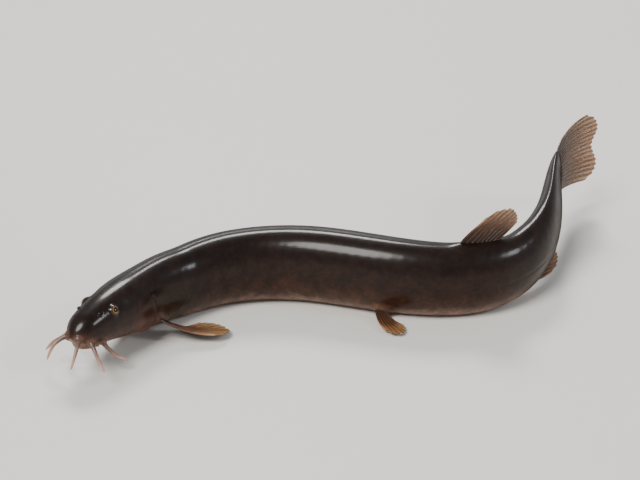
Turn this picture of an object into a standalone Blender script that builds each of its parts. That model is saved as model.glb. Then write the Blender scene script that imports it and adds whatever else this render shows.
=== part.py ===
"""Black kuhli loach, life size, at rest on its belly in an S curve.

Metres, +Z up, the head towards -X and the floor at z = 0. Lengths along the fish are measured from the
tip of the snout down the spine, and angles round the body from the fish's left side (0) over the back (90).
"""

import math
from collections import namedtuple

import bmesh
import bpy
import numpy as np
from mathutils import Vector

# Driving sizes
TOTAL_LENGTH = 0.080
STANDARD_LENGTH = 0.070  # from the snout to the root of the tail fin
BODY_DEPTH = 0.0082
BODY_WIDTH = 0.0060
MM = TOTAL_LENGTH / 80  # a millimetre on a fish of 80 mm, so that small forms keep their proportion
GAP = 0.0003  # left between solids that touch
SMALL_GAP = 0.0002  # the same, round an eye and at the root of a barbel or a fin
WELD = 1e-7  # points closer than this are one

# The S curve: the spine's heading swings to both sides as a wave that grows towards the tail
HEAD_SWING = math.radians(32)
TAIL_SWING = math.radians(58)
WAVE_LENGTH = 60 * MM
WAVE_START = 5 * MM
SPINE_STEP = 0.25 * MM

# Places along the fish
SNOUT_ROUNDING = 1.8 * MM
NOSTRIL_AT = 2.75 * MM
EYE_AT = 4.3 * MM
HEAD_LENGTH = 8.9 * MM
GILL_COVER_BULGE = 0.8 * MM  # how far the gill cover's edge reaches back at mid-height
FRONT_TRUNK_END = 24 * MM
MIDDLE_TRUNK_END = 37 * MM
REAR_TRUNK_END = 51.5 * MM

# The body's outline: place along the standard length, then the half width, back and belly as shares of
# half the body's greatest width and depth, and the power of the section (2 is an ellipse)
STATIONS = (
    (0.000, 0.45, 0.29, 0.28, 2.0),  # snout
    (0.021, 0.56, 0.42, 0.36, 2.1),  # mouth
    (0.043, 0.66, 0.53, 0.44, 2.2),  # nostrils
    (0.064, 0.74, 0.61, 0.52, 2.2),  # eyes
    (0.093, 0.83, 0.69, 0.63, 2.2),  # cheeks
    (0.122, 0.87, 0.74, 0.73, 2.2),  # gill covers
    (0.155, 0.86, 0.79, 0.79, 2.2),  # shoulders
    (0.200, 0.90, 0.85, 0.85, 2.2),
    (0.314, 0.98, 0.95, 0.95, 2.2),
    (0.486, 1.00, 1.00, 1.00, 2.2),  # middle of the trunk
    (0.657, 0.92, 0.96, 0.95, 2.1),  # dorsal fin
    (0.771, 0.75, 0.87, 0.83, 2.0),  # anal fin
    (0.871, 0.52, 0.77, 0.72, 1.9),
    (0.943, 0.37, 0.72, 0.68, 1.8),  # narrowest part of the tail stalk
    (1.000, 0.27, 0.75, 0.72, 1.8),  # root of the tail fin
)
# How high the belly line is above the floor: place along the standard length, height in millimetres.
# What lies below the floor is pressed flat on it.
LIFT = (
    (0.000, 3.4),
    (0.064, 2.3),
    (0.133, 1.0),
    (0.200, 0.25),
    (0.250, -0.16),
    (0.680, -0.16),
    (0.743, 0.35),
    (0.800, 1.4),
    (0.857, 2.6),
    (0.943, 3.8),
    (1.000, 4.2),
)
TAIL_FIN_RISE = 0.6 * MM  # of the spine's line, from the root of the tail fin to its end

# Mesh density
SIDES = 28
RING_SPACING = 1.15 * MM
HEAD_RINGS = 20

# Head forms
EYE_RADIUS = 0.66 * MM
EYE_ANGLE = math.radians(38)
EYE_SUNK = 0.34 * MM
NOSTRIL_ANGLE = math.radians(50)
NOSTRIL_RADII = (0.325 * MM, 0.26 * MM)  # of the short tube's outside, at its root and its rim
NOSTRIL_BORE = (0.13 * MM, 0.13 * MM)
LIP_RADIUS = 0.34 * MM
LIP_POINTS = 11
MOUTH_HALF_WIDTH = 1.10 * MM
MOUTH_FRONT = 0.90 * MM
MOUTH_CORNER = 2.25 * MM
MOUTH_SLIT_RADIUS = 0.20 * MM
# One of the lower lip's two lobes, from the corner of the mouth in and back to its free point. In
# millimetres: places along and across, then the radius as a share of the lip's, and the stand off the skin
LOWER_LIP = (
    (2.30, 0.92, 0.50, 0.00),
    (2.06, 0.62, 0.78, 0.04),
    (2.12, 0.34, 0.92, 0.08),
    (2.62, 0.32, 0.78, 0.14),
    (3.25, 0.44, 0.48, 0.26),
)

# Barbels: name, place along in millimetres, angle round the body in degrees, and the tip's way from the
# root in millimetres, tailward, outward from the fish's middle and up
BARBELS = (
    ("barbel_inner", 0.28, -12, (-1.9, 0.7, -1.9)),
    ("barbel_outer", 1.20, -24, (-0.8, 2.2, -2.0)),
    ("barbel_corner", 2.75, -40, (1.3, 1.9, -1.9)),
)
BARBEL_RADII = ((0.0, 0.31), (0.35, 0.27), (0.75, 0.21), (1.0, 0.12))  # share of length, millimetres
BARBEL_POINTS = 10
BARBEL_SQUARENESS = 0.42  # share of its length for which a barbel keeps square to the skin

# Fins: the web's thickness in millimetres against the share of the way out, and how far a ray stands
# out of each face
WEB_THICKNESS = ((0.0, 0.62), (0.35, 0.54), (0.75, 0.46), (1.0, 0.28))
RAY_RIDGE = 0.14 * MM
RIDGE_LOSS = 0.3  # share of its height that a ridge loses towards the ray's tip
WEB_NOTCH = 0.02  # share of its length by which the web falls short of the rays' tips
FIN_REST_HEIGHT = 0.40 * MM  # of the middle of a fin that lies just over the floor

# Fins on the back (upward 1) and the belly (-1). leans are the first and last rays' angles off the spine
# and tilt the bend of the tips to the fish's left, in degrees. lengths are the rays' in millimetres,
# against the share of the way across the fin.
MedianFin = namedtuple("MedianFin", "name upward start base leans tilt lengths rays rows")
MEDIAN_FINS = (
    MedianFin(
        name="dorsal_fin",
        upward=1,
        start=46.0 * MM,
        base=4.6 * MM,
        leans=(60, 30),
        tilt=10,
        lengths=((0.00, 3.9), (0.15, 5.0), (0.35, 5.3), (0.70, 4.6), (1.00, 3.1)),
        rays=9,
        rows=6,
    ),
    MedianFin(
        name="anal_fin",
        upward=-1,
        start=55.0 * MM,
        base=3.7 * MM,
        leans=(33, 19),
        tilt=52,
        lengths=((0.00, 3.3), (0.18, 4.3), (0.40, 4.6), (0.70, 4.1), (1.00, 2.9)),
        rays=8,
        rows=6,
    ),
)
MEDIAN_FIN_CURL = 0.18  # share of its lean that a ray loses towards its tip

# Fins on both flanks. roots are the angles round the body of the root's two ends and leans the first and
# last rays' angles off the way to the tail, in degrees. The sheet leaves the skin squarely, stands off
# it by a clearance and sinks by a fall.
PairedFin = namedtuple("PairedFin", "name start base roots leans clearance fall lengths rays rows")
PAIRED_FINS = (
    PairedFin(
        name="pectoral_fin",
        start=10.5 * MM,
        base=1.6 * MM,
        roots=(-26, -42),
        leans=(72, 24),
        clearance=0.55 * MM,
        fall=0.9 * MM,
        lengths=((0.00, 5.2), (0.15, 6.2), (0.35, 6.4), (0.65, 5.5), (1.00, 3.4)),
        rays=10,
        rows=7,
    ),
    PairedFin(
        name="pelvic_fin",
        start=38.2 * MM,
        base=1.1 * MM,
        roots=(-42, -46),
        leans=(64, 34),
        clearance=0.5 * MM,
        fall=0.2 * MM,
        lengths=((0.00, 3.1), (0.20, 3.9), (0.40, 4.1), (0.70, 3.5), (1.00, 2.3)),
        rays=7,
        rows=5,
    ),
)
PAIRED_FIN_CURL = 0.15  # share of its lean that a ray loses towards its tip

TAIL_FIN_RAYS = 16
TAIL_FIN_ROWS = 7
TAIL_FIN_ROOT = 0.92  # share of the tail stalk's depth that the fin's root takes
TAIL_FIN_HALF_HEIGHT = 4.2 * MM
TAIL_FIN_FLARE = 0.25  # how much faster the fin widens at its root than at its end
TAIL_FIN_RIPPLE = 0.16 * MM
# The end's outline: share of the way down the fin, share of the full length
TAIL_FIN_END = ((0.0, 0.82), (0.09, 0.95), (0.24, 1.0), (0.5, 0.94), (0.76, 1.0), (0.91, 0.95), (1.0, 0.82))

SKIN_BROWN = (0.030, 0.017, 0.011, 1)
BARBEL_BROWN = (0.16, 0.085, 0.055, 1)
FIN_AMBER = (0.20, 0.105, 0.055, 1)
EYE_BLACK = (0.004, 0.004, 0.005, 1)


def clear_scene():
    for item in list(bpy.data.objects):
        bpy.data.objects.remove(item)


def finish(name, colour, roughness):
    """A plain finish of one colour."""
    made = bpy.data.materials.new(name)
    made.use_nodes = True
    shader = made.node_tree.nodes["Principled BSDF"]
    shader.inputs["Base Color"].default_value = colour
    shader.inputs["Roughness"].default_value = roughness
    shader.inputs["Metallic"].default_value = 0
    made.diffuse_color = colour
    return made


def curve_through(rows, at, column=1):
    """Height at a place of a smooth curve through a column of rows, which never overshoots them."""
    xs = np.array([row[0] for row in rows], float)
    ys = np.array([row[column] for row in rows], float)
    steps = np.diff(xs)
    slopes = np.diff(ys) / steps
    tangents = np.zeros(len(xs))
    tangents[0], tangents[-1] = slopes[0], slopes[-1]
    same_way = slopes[:-1] * slopes[1:] > 0
    harmonic = 2 * slopes[:-1] * slopes[1:] / np.where(same_way, slopes[:-1] + slopes[1:], 1)
    tangents[1:-1] = np.where(same_way, harmonic, 0)
    at = np.clip(at, xs[0], xs[-1])
    row = np.clip(np.searchsorted(xs, at) - 1, 0, len(steps) - 1)
    t = (at - xs[row]) / steps[row]
    return float(
        ys[row] * (1 + 2 * t) * (1 - t) ** 2
        + ys[row + 1] * t**2 * (3 - 2 * t)
        + tangents[row] * steps[row] * t * (1 - t) ** 2
        - tangents[row + 1] * steps[row] * t**2 * (1 - t)
    )


def section(along):
    """Half width, back, belly and power of the body's section, which closes round the snout."""
    place = along / STANDARD_LENGTH
    short = max(0.0, 1 - along / SNOUT_ROUNDING)
    cap = math.sqrt(1 - short**2)
    half_width = BODY_WIDTH / 2 * curve_through(STATIONS, place, 1) * cap
    back = BODY_DEPTH / 2 * curve_through(STATIONS, place, 2) * cap
    belly = BODY_DEPTH / 2 * curve_through(STATIONS, place, 3) * cap
    return half_width, back, belly, curve_through(STATIONS, place, 4)


def spine_height(along):
    """Height of the spine above the floor. The tail fin carries its line on past the body."""
    place = along / STANDARD_LENGTH
    belly = BODY_DEPTH / 2 * curve_through(STATIONS, place, 3)
    past = max(0.0, along - STANDARD_LENGTH) / (TOTAL_LENGTH - STANDARD_LENGTH)
    return belly + curve_through(LIFT, place) * MM + TAIL_FIN_RISE * past


def spine_line():
    """Points down the spine, a small step apart, from the snout to the end of the tail fin."""
    alongs = np.linspace(0, TOTAL_LENGTH, round(TOTAL_LENGTH / SPINE_STEP) + 1)
    swing = HEAD_SWING + (TAIL_SWING - HEAD_SWING) * alongs / TOTAL_LENGTH
    heading = swing * np.cos(2 * math.pi * (alongs - WAVE_START) / WAVE_LENGTH)
    heights = np.array([spine_height(along) for along in alongs])
    level = np.sqrt(1 - np.gradient(heights, alongs) ** 2)
    ways = np.column_stack([np.cos(heading), np.sin(heading)]) * level[:, None]
    strides = (ways[1:] + ways[:-1]) / 2 * np.diff(alongs)[:, None]
    plan = np.vstack([[0, 0], np.cumsum(strides, axis=0)])
    return alongs, np.column_stack([plan, heights])


SPINE_ALONGS, SPINE = spine_line()


def on_spine(along):
    return Vector([np.interp(along, SPINE_ALONGS, SPINE[:, axis]) for axis in range(3)])


def spine_frame(along):
    """Point on the spine, with the ways to the tail, to the fish's left and up from there."""
    ahead = on_spine(min(TOTAL_LENGTH, along + 2 * SPINE_STEP))
    tailward = (ahead - on_spine(max(0.0, along - 2 * SPINE_STEP))).normalized()
    left = tailward.cross(Vector((0, 0, 1))).normalized()
    return on_spine(along), tailward, left, left.cross(tailward)


def skin_point(along, angle):
    """Point on the skin. What would lie below the floor is pressed flat on it."""
    half_width, back, belly, power = section(along)
    across, up = math.cos(angle), math.sin(angle)
    wide = math.copysign(abs(across) ** (2 / power), across) * half_width
    high = math.copysign(abs(up) ** (2 / power), up) * (back if up > 0 else belly)
    point, _, left, upward = spine_frame(along)
    place = point + left * wide + upward * high
    place.z = max(place.z, 0.0)
    return place


def skin_normal(along, angle):
    """The way out of the skin at a point."""
    step, turn = 0.05 * MM, math.radians(2)
    ahead = max(step, along)
    lengthwise = skin_point(ahead + step, angle) - skin_point(ahead - step, angle)
    round_it = skin_point(ahead, angle + turn) - skin_point(ahead, angle - turn)
    return lengthwise.cross(round_it).normalized()


def outside(along, angle, gap):
    """Point at a gap outside the skin, or inside it where the gap is negative."""
    return skin_point(along, angle) + skin_normal(along, angle) * gap


def gill_edge(angle):
    """Where the head ends: the gill covers' edge, which reaches furthest back below mid-height."""
    side = math.cos(angle + math.copysign(math.radians(12), math.cos(angle)))
    return HEAD_LENGTH + GILL_COVER_BULGE * side**2


def both_sides(angle):
    """An angle on the fish's left, and its mirror image on the right."""
    return (("left", angle), ("right", math.pi - angle))


def mesh_from(bm, name):
    """A smooth-shaded mesh with its faces pointing out."""
    bmesh.ops.recalc_face_normals(bm, faces=bm.faces)
    mesh = bpy.data.meshes.new(name)
    bm.to_mesh(mesh)
    bm.free()
    mesh.shade_smooth()
    return mesh


def add_object(mesh, material, parent):
    """A mesh as an object of the same name, under the fish's empty."""
    made = bpy.data.objects.new(mesh.name, mesh)
    mesh.materials.append(material)
    parent.users_collection[0].objects.link(made)
    made.parent = parent
    return made


def loft(name, rings):
    """A closed mesh through rings of points. Each end is closed with a smaller ring and a fan."""
    first, last = (sum(ring, Vector()) / len(ring) for ring in (rings[0], rings[-1]))
    head_cap = [first.lerp(point, 0.5) for point in rings[0]]
    tail_cap = [last.lerp(point, 0.5) for point in rings[-1]]
    bm = bmesh.new()
    loops = [[bm.verts.new(point) for point in ring] for ring in (head_cap, *rings, tail_cap)]
    count = len(rings[0])
    for before, after in zip(loops, loops[1:]):
        for i in range(count):
            j = (i + 1) % count
            bm.faces.new((before[i], before[j], after[j], after[i]))
    for loop, hub in ((loops[0], bm.verts.new(first)), (loops[-1], bm.verts.new(last))):
        for i in range(count):
            bm.faces.new((loop[i], loop[(i + 1) % count], hub))
    return mesh_from(bm, name)


def body_length(name, start, end, shares):
    """A length of the body between two cuts, which each give their place for an angle round the body.

    shares are the rings' places on the way from one cut to the other.
    """
    angles = [2 * math.pi * i / SIDES for i in range(SIDES)]
    rings = [
        [skin_point(start(angle) + (end(angle) - start(angle)) * share, angle) for angle in angles]
        for share in shares
    ]
    return loft(name, rings)


def tube(name, points, radii, fineness=2):
    """A closed mesh tube through points, with its radius at each."""
    curve = bpy.data.curves.new(name, "CURVE")
    curve.dimensions = "3D"
    curve.bevel_depth = 1.0
    curve.bevel_resolution = fineness
    curve.use_fill_caps = True
    spline = curve.splines.new("POLY")
    spline.points.add(len(points) - 1)
    for spot, point, radius in zip(spline.points, points, radii):
        spot.co = (*point, 1)
        spot.radius = radius
    holder = bpy.data.objects.new(name, curve)
    bpy.context.scene.collection.objects.link(holder)
    graph = bpy.context.evaluated_depsgraph_get()
    loose = bpy.data.meshes.new_from_object(holder.evaluated_get(graph))
    bm = bmesh.new()
    bm.from_mesh(loose)
    bmesh.ops.remove_doubles(bm, verts=bm.verts, dist=WELD)
    bpy.data.objects.remove(holder)
    bpy.data.curves.remove(curve)
    bpy.data.meshes.remove(loose)
    return mesh_from(bm, name)


def ball(name, centre, radius):
    bm = bmesh.new()
    bmesh.ops.create_uvsphere(bm, u_segments=16, v_segments=12, radius=radius)
    bmesh.ops.translate(bm, verts=bm.verts, vec=centre)
    return mesh_from(bm, name)


def keep_largest_surface(mesh):
    """Drops all but the largest closed surface of a mesh."""
    bm = bmesh.new()
    bm.from_mesh(mesh)
    bmesh.ops.remove_doubles(bm, verts=bm.verts, dist=WELD)
    unseen = set(bm.verts)
    surfaces = []
    while unseen:
        surface, border = set(), {unseen.pop()}
        while border:
            surface |= border
            border = {edge.other_vert(vert) for vert in border for edge in vert.link_edges} & unseen
            unseen -= border
        surfaces.append(surface)
    largest = max(surfaces, key=len)
    bmesh.ops.delete(bm, geom=[vert for vert in bm.verts if vert not in largest], context="VERTS")
    bm.to_mesh(mesh)
    bm.free()
    mesh.shade_smooth()


def boolean(target, operation, meshes):
    """Joins closed meshes to an object, or cuts them out of it, in one Boolean, and applies it."""
    group = bpy.data.collections.new(target.name + "_" + operation.lower())
    bpy.context.scene.collection.children.link(group)
    for mesh in meshes:
        group.objects.link(bpy.data.objects.new(mesh.name, mesh))
    change = target.modifiers.new(operation.title(), "BOOLEAN")
    change.operation = operation
    change.operand_type = "COLLECTION"
    change.collection = group
    graph = bpy.context.evaluated_depsgraph_get()
    target.data = bpy.data.meshes.new_from_object(target.evaluated_get(graph))
    target.modifiers.remove(change)
    for item in list(group.objects):
        bpy.data.objects.remove(item)
    bpy.data.collections.remove(group)
    keep_largest_surface(target.data)


def under_head(along, across):
    """Angle at which the underside of the head is a given way to the left of its middle."""
    half_width, _, _, power = section(along)
    share = max(-0.98, min(0.98, across / half_width))
    return -math.acos(math.copysign(abs(share) ** (power / 2), share))


def mouth_line(front, half_width, count):
    """Points, as a place along and an angle, of a horseshoe on the underside from one corner to the other."""
    places = []
    for i in range(count):
        turn = math.pi * i / (count - 1)
        along = MOUTH_CORNER + (front - MOUTH_CORNER) * math.sin(turn)
        places.append((along, under_head(along, half_width * math.cos(turn))))
    return places


def upper_lip():
    places = mouth_line(MOUTH_FRONT, MOUTH_HALF_WIDTH, LIP_POINTS)
    points = [outside(along, angle, -0.05 * MM) for along, angle in places]
    fullness = [math.sin(math.pi * (i + 1) / (LIP_POINTS + 1)) for i in range(LIP_POINTS)]
    return tube("upper_lip", points, [LIP_RADIUS * (0.55 + 0.45 * full) for full in fullness])


def lower_lip(side, sign):
    """One of the lower lip's two lobes."""
    points, radii = [], []
    for along, across, full, stand in LOWER_LIP:
        angle = under_head(along * MM, sign * across * MM)
        points.append(outside(along * MM, angle, stand * MM))
        radii.append(full * LIP_RADIUS)
    return tube("lower_lip_" + side, points, radii)


def mouth_slit():
    """The line of the mouth, between the lips."""
    places = mouth_line(MOUTH_FRONT + 0.66 * MM, 0.74 * MOUTH_HALF_WIDTH, LIP_POINTS)
    points = [outside(along, angle, 0.04 * MM) for along, angle in places]
    return tube("mouth_slit", points, [MOUTH_SLIT_RADIUS] * LIP_POINTS, fineness=1)


def stub(name, along, angle, bottom, top, radii):
    """A short tube that stands on the skin, or a hole in it, between two heights over it."""
    return tube(name, [outside(along, angle, bottom), outside(along, angle, top)], radii)


def eye_centre(angle):
    return outside(EYE_AT, angle, -EYE_SUNK)


def build_head(material, parent):
    """The head with its lips, nostrils and the sockets that the eyes sit in."""
    shares = [(step / HEAD_RINGS) ** 1.6 for step in range(1, HEAD_RINGS + 1)]
    head = add_object(body_length("head", lambda angle: 0.0, gill_edge, shares), material, parent)
    nostrils, hollows = [], [mouth_slit()]
    for side, angle in both_sides(NOSTRIL_ANGLE):
        nostrils.append(stub("nostril_" + side, NOSTRIL_AT, angle, -0.2 * MM, 0.25 * MM, NOSTRIL_RADII))
        hollows.append(stub("bore_" + side, NOSTRIL_AT, angle, -0.1 * MM, 0.5 * MM, NOSTRIL_BORE))
    for side, angle in both_sides(EYE_ANGLE):
        hollows.append(ball("socket_" + side, eye_centre(angle), EYE_RADIUS + SMALL_GAP))
    boolean(head, "UNION", [upper_lip(), lower_lip("left", 1), lower_lip("right", -1), *nostrils])
    boolean(head, "DIFFERENCE", hollows)


def build_eyes(material, parent):
    for side, angle in both_sides(EYE_ANGLE):
        add_object(ball("eye_" + side, eye_centre(angle), EYE_RADIUS), material, parent)


def build_body(material, parent):
    """The trunk and the tail stalk, in lengths that meet at thin cuts across the spine."""
    cuts = (FRONT_TRUNK_END, MIDDLE_TRUNK_END, REAR_TRUNK_END)
    names = ("trunk_front", "trunk_middle", "trunk_rear", "tail_stalk")
    starts = [lambda angle: gill_edge(angle) + GAP]
    starts += [lambda angle, cut=cut: cut + GAP for cut in cuts]
    ends = [lambda angle, cut=cut: cut for cut in (*cuts, STANDARD_LENGTH)]
    for name, start, end in zip(names, starts, ends):
        count = round((end(0) - start(0)) / RING_SPACING)
        shares = [step / count for step in range(count + 1)]
        add_object(body_length(name, start, end, shares), material, parent)


def barbel(name, along, angle, reach):
    """A tapered barbel that leaves the skin squarely and bends over to its reach."""
    way_out = skin_normal(along, angle)
    root = outside(along, angle, SMALL_GAP)
    _, tailward, left, up = spine_frame(along)
    outward = left * math.copysign(1, math.cos(angle))
    tip = root + (tailward * reach[0] + outward * reach[1] + up * reach[2]) * MM
    knee = root + way_out * (tip - root).length * BARBEL_SQUARENESS
    shares = [step / (BARBEL_POINTS - 1) for step in range(BARBEL_POINTS)]
    points = [root * (1 - t) ** 2 + knee * 2 * t * (1 - t) + tip * t**2 for t in shares]
    return tube(name, points, [curve_through(BARBEL_RADII, t) * MM for t in shares])


def build_barbels(material, parent):
    """Three pairs: two at the front of the snout over the upper lip, and one at the mouth's corners."""
    for name, along, low, reach in BARBELS:
        for side, angle in both_sides(math.radians(low)):
            add_object(barbel(f"{name}_{side}", along * MM, angle, reach), material, parent)


def add_fin(name, place, rays, rows, material, parent):
    """A fin as one curved sheet with thickness, whose rays are ridges on both faces.

    place(u, v) gives the point a share u of the way across the rays and v of the way out along them.
    The sheet is made of triangles before it is thickened, so that both faces are split alike.
    """
    columns = 2 * rays - 1
    bm = bmesh.new()
    bmesh.ops.create_grid(bm, x_segments=columns - 1, y_segments=rows, size=1)
    bmesh.ops.triangulate(bm, faces=bm.faces)
    thickest = curve_through(WEB_THICKNESS, 0) * MM + 2 * RAY_RIDGE
    weights = []
    for vert in bm.verts:
        u, v = (vert.co.x + 1) / 2, (vert.co.y + 1) / 2
        on_ray = round(u * (columns - 1)) % 2 == 0
        v *= 1 if on_ray else 1 - WEB_NOTCH
        ridge = 2 * RAY_RIDGE * (1 - RIDGE_LOSS * v) if on_ray else 0
        weights.append((curve_through(WEB_THICKNESS, v) * MM + ridge) / thickest)
        vert.co = place(u, v)
    fin = add_object(mesh_from(bm, name), material, parent)
    group = fin.vertex_groups.new(name="thickness")
    for index, weight in enumerate(weights):
        group.add([index], weight, "REPLACE")
    solidify = fin.modifiers.new("Solidify", "SOLIDIFY")
    solidify.thickness = thickest
    solidify.offset = 0
    solidify.vertex_group = group.name


def between(pair, share):
    """The angle in radians at a share of the way between two in degrees."""
    return math.radians(pair[0] + (pair[1] - pair[0]) * share)


def median_fin(fin):
    """Places on a fin along the back or the belly."""

    def place(u, v):
        root_along = fin.start + fin.base * u
        _, back, belly, _ = section(root_along)
        root_height = (back if fin.upward > 0 else belly) + SMALL_GAP
        lean = between(fin.leans, u) * (1 - MEDIAN_FIN_CURL * v)
        reach = curve_through(fin.lengths, u) * MM * v
        point, _, left, up = spine_frame(root_along + reach * math.cos(lean))
        away, bend = reach * math.sin(lean), math.radians(fin.tilt) * v**0.6
        height = root_height + away * math.cos(bend)
        return point + up * fin.upward * height + left * away * math.sin(bend)

    return place


def paired_fin(fin, side):
    """Places on a fin that fans out from one flank."""

    def place(u, v):
        along = fin.start + fin.base * u
        angle = between(fin.roots, u)
        angle = angle if side == "left" else math.pi - angle
        _, tailward, left, _ = spine_frame(along)
        outward = left if side == "left" else -left
        lean = between(fin.leans, u) * (1 - PAIRED_FIN_CURL * v)
        reach = curve_through(fin.lengths, u) * MM * v
        spot = outside(along, angle, GAP + fin.clearance * (1 - (1 - v) ** 4))
        spot += (tailward * math.cos(lean) + outward * math.sin(lean)) * reach
        spot.z = max(spot.z - fin.fall * v * (2 - v), FIN_REST_HEIGHT)
        return spot

    return place


def tail_fin(u, v):
    """Places on the tail fin, from its upper edge to its lower one. Its end is cut nearly straight."""
    _, back, belly, _ = section(STANDARD_LENGTH)
    root_height = TAIL_FIN_ROOT * (back - (back + belly) * u)
    spread = TAIL_FIN_HALF_HEIGHT * (1 - 2 * u) - root_height
    length = TOTAL_LENGTH - STANDARD_LENGTH - SMALL_GAP
    point, _, left, up = spine_frame(TOTAL_LENGTH - length * (1 - v * curve_through(TAIL_FIN_END, u)))
    ripple = TAIL_FIN_RIPPLE * math.sin(2.4 * math.pi * u + 0.6) * v**1.5
    return point + up * (root_height + spread * v * (1 + TAIL_FIN_FLARE * (1 - v))) + left * ripple


def build_fins(material, parent):
    for fin in MEDIAN_FINS:
        add_fin(fin.name, median_fin(fin), fin.rays, fin.rows, material, parent)
    add_fin("tail_fin", tail_fin, TAIL_FIN_RAYS, TAIL_FIN_ROWS, material, parent)
    for fin in PAIRED_FINS:
        for side in ("left", "right"):
            add_fin(f"{fin.name}_{side}", paired_fin(fin, side), fin.rays, fin.rows, material, parent)


def centre_over_origin(parent):
    """Moves the fish so that the origin is on the floor under the middle of its box."""
    graph = bpy.context.evaluated_depsgraph_get()
    corners = []
    for child in parent.children:
        whole = child.evaluated_get(graph)
        corners += [whole.matrix_world @ Vector(corner) for corner in whole.bound_box]
    for axis in (0, 1):
        values = [corner[axis] for corner in corners]
        parent.location[axis] = -(min(values) + max(values)) / 2


def main():
    clear_scene()
    fish = bpy.data.collections.new("black_kuhli_loach")
    bpy.context.scene.collection.children.link(fish)
    root = bpy.data.objects.new("loach", None)
    fish.objects.link(root)
    skin = finish("loach_skin", SKIN_BROWN, 0.30)
    build_head(skin, root)
    build_body(skin, root)
    build_eyes(finish("loach_eyes", EYE_BLACK, 0.08), root)
    build_barbels(finish("loach_barbels", BARBEL_BROWN, 0.35), root)
    build_fins(finish("loach_fins", FIN_AMBER, 0.35), root)
    centre_over_origin(root)


main()
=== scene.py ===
"""The looks of the black kuhli loach: one skin over the whole body, eyes, barbels, fins, and a pale stage.

Lengths along the fish are measured from the tip of the snout down the spine, and angles round the body
from the fish's left side (0) over the back (90 degrees). The head points towards -X.
"""

import math

import bmesh
import bpy
import numpy as np
from bpy.props import FloatProperty, FloatVectorProperty, PointerProperty
from bpy.types import Operator, Panel, PropertyGroup
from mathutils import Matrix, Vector


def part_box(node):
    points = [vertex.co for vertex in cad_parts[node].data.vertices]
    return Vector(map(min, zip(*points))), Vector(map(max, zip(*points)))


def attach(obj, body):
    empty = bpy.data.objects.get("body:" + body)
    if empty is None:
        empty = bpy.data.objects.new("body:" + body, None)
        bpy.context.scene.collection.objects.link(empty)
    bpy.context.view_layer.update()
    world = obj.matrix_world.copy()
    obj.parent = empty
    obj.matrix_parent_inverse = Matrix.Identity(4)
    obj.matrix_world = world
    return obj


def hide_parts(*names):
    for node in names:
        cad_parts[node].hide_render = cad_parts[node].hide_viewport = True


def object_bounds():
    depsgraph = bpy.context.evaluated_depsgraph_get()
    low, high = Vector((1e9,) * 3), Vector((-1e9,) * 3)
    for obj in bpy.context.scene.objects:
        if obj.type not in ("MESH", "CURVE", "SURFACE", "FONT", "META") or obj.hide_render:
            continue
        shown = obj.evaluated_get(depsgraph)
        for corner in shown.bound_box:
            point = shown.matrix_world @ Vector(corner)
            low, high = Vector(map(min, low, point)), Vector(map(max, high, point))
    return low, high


bl_info = {
    "name": "Black Kuhli Loach",
    "version": (1, 0, 0),
    "blender": (4, 5, 0),
    "location": "3D View > Sidebar > Loach",
    "description": "Skin, eyes, barbels, fins and stage of a life-size black kuhli loach",
    "category": "Add Mesh",
}

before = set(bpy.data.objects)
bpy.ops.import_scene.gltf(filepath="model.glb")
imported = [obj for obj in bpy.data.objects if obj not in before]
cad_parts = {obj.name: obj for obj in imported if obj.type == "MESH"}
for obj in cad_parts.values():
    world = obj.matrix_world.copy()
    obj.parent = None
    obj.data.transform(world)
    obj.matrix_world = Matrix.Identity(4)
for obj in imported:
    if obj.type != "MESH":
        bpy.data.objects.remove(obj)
CAD_BOX = [list(corner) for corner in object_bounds()]

# Driving sizes in metres, as in the solids
TOTAL_LENGTH = 0.080
STANDARD_LENGTH = 0.070
BODY_DEPTH = 0.0082
BODY_WIDTH = 0.0060
MM = TOTAL_LENGTH / 80
GAP = 0.3 * MM
SMALL_GAP = 0.2 * MM

# The S curve
HEAD_SWING = math.radians(32)
TAIL_SWING = math.radians(58)
WAVE_LENGTH = 60 * MM
WAVE_START = 5 * MM
SPINE_STEP = 0.25 * MM

# Places along the fish
SNOUT_ROUNDING = 1.8 * MM
NOSTRIL_AT = 2.75 * MM
EYE_AT = 4.3 * MM
HEAD_LENGTH = 8.9 * MM
HEAD_RELIEF_FADE = (10.5 * MM, 12.2 * MM)  # where the head's forms start to fade, and have gone
HEAD_RELIEF_END = 12.5 * MM
WEDGE_START = 69.3 * MM  # the flesh ends as a thin wedge over the roots of the tail fin's rays
SKIN_END = 71.1 * MM
END_STRETCH = 1.2 * MM  # where the last rings draw closer together

# How rings are led: back along the gill cover's edge, furthest a little below mid-height, and at the tail
# further back on the sides than above and below, with a scallop between one ray and the next
GILL_COVER_BULGE = 0.8 * MM
GILL_COVER_LOW = math.radians(12)
GILL_COVER_STRETCH = (5.6 * MM, HEAD_LENGTH, HEAD_LENGTH, 13 * MM)
TAIL_BEND = 0.35 * MM
TAIL_BEND_START = 66 * MM
SCALLOP_DEPTH = 0.28 * MM
SCALLOP_START = 69.6 * MM

# Stretches of the fish in millimetres: where a form starts, is full, starts to fade, and has gone
THROAT = (4.2, 5.2, 8.0, 9.0)
SCALES = (7, 12, 68, 70)
FURROW = (7, 10, 42, 45)
TRUNK = (10, 13, 68, 70)
MUSCLES = (11, 15, 66, 69.5)
# The same for the gill opening, in radians up from mid-height
GILL_OPENING = (-1.35, -1.05, 0.20, 0.48)

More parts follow.
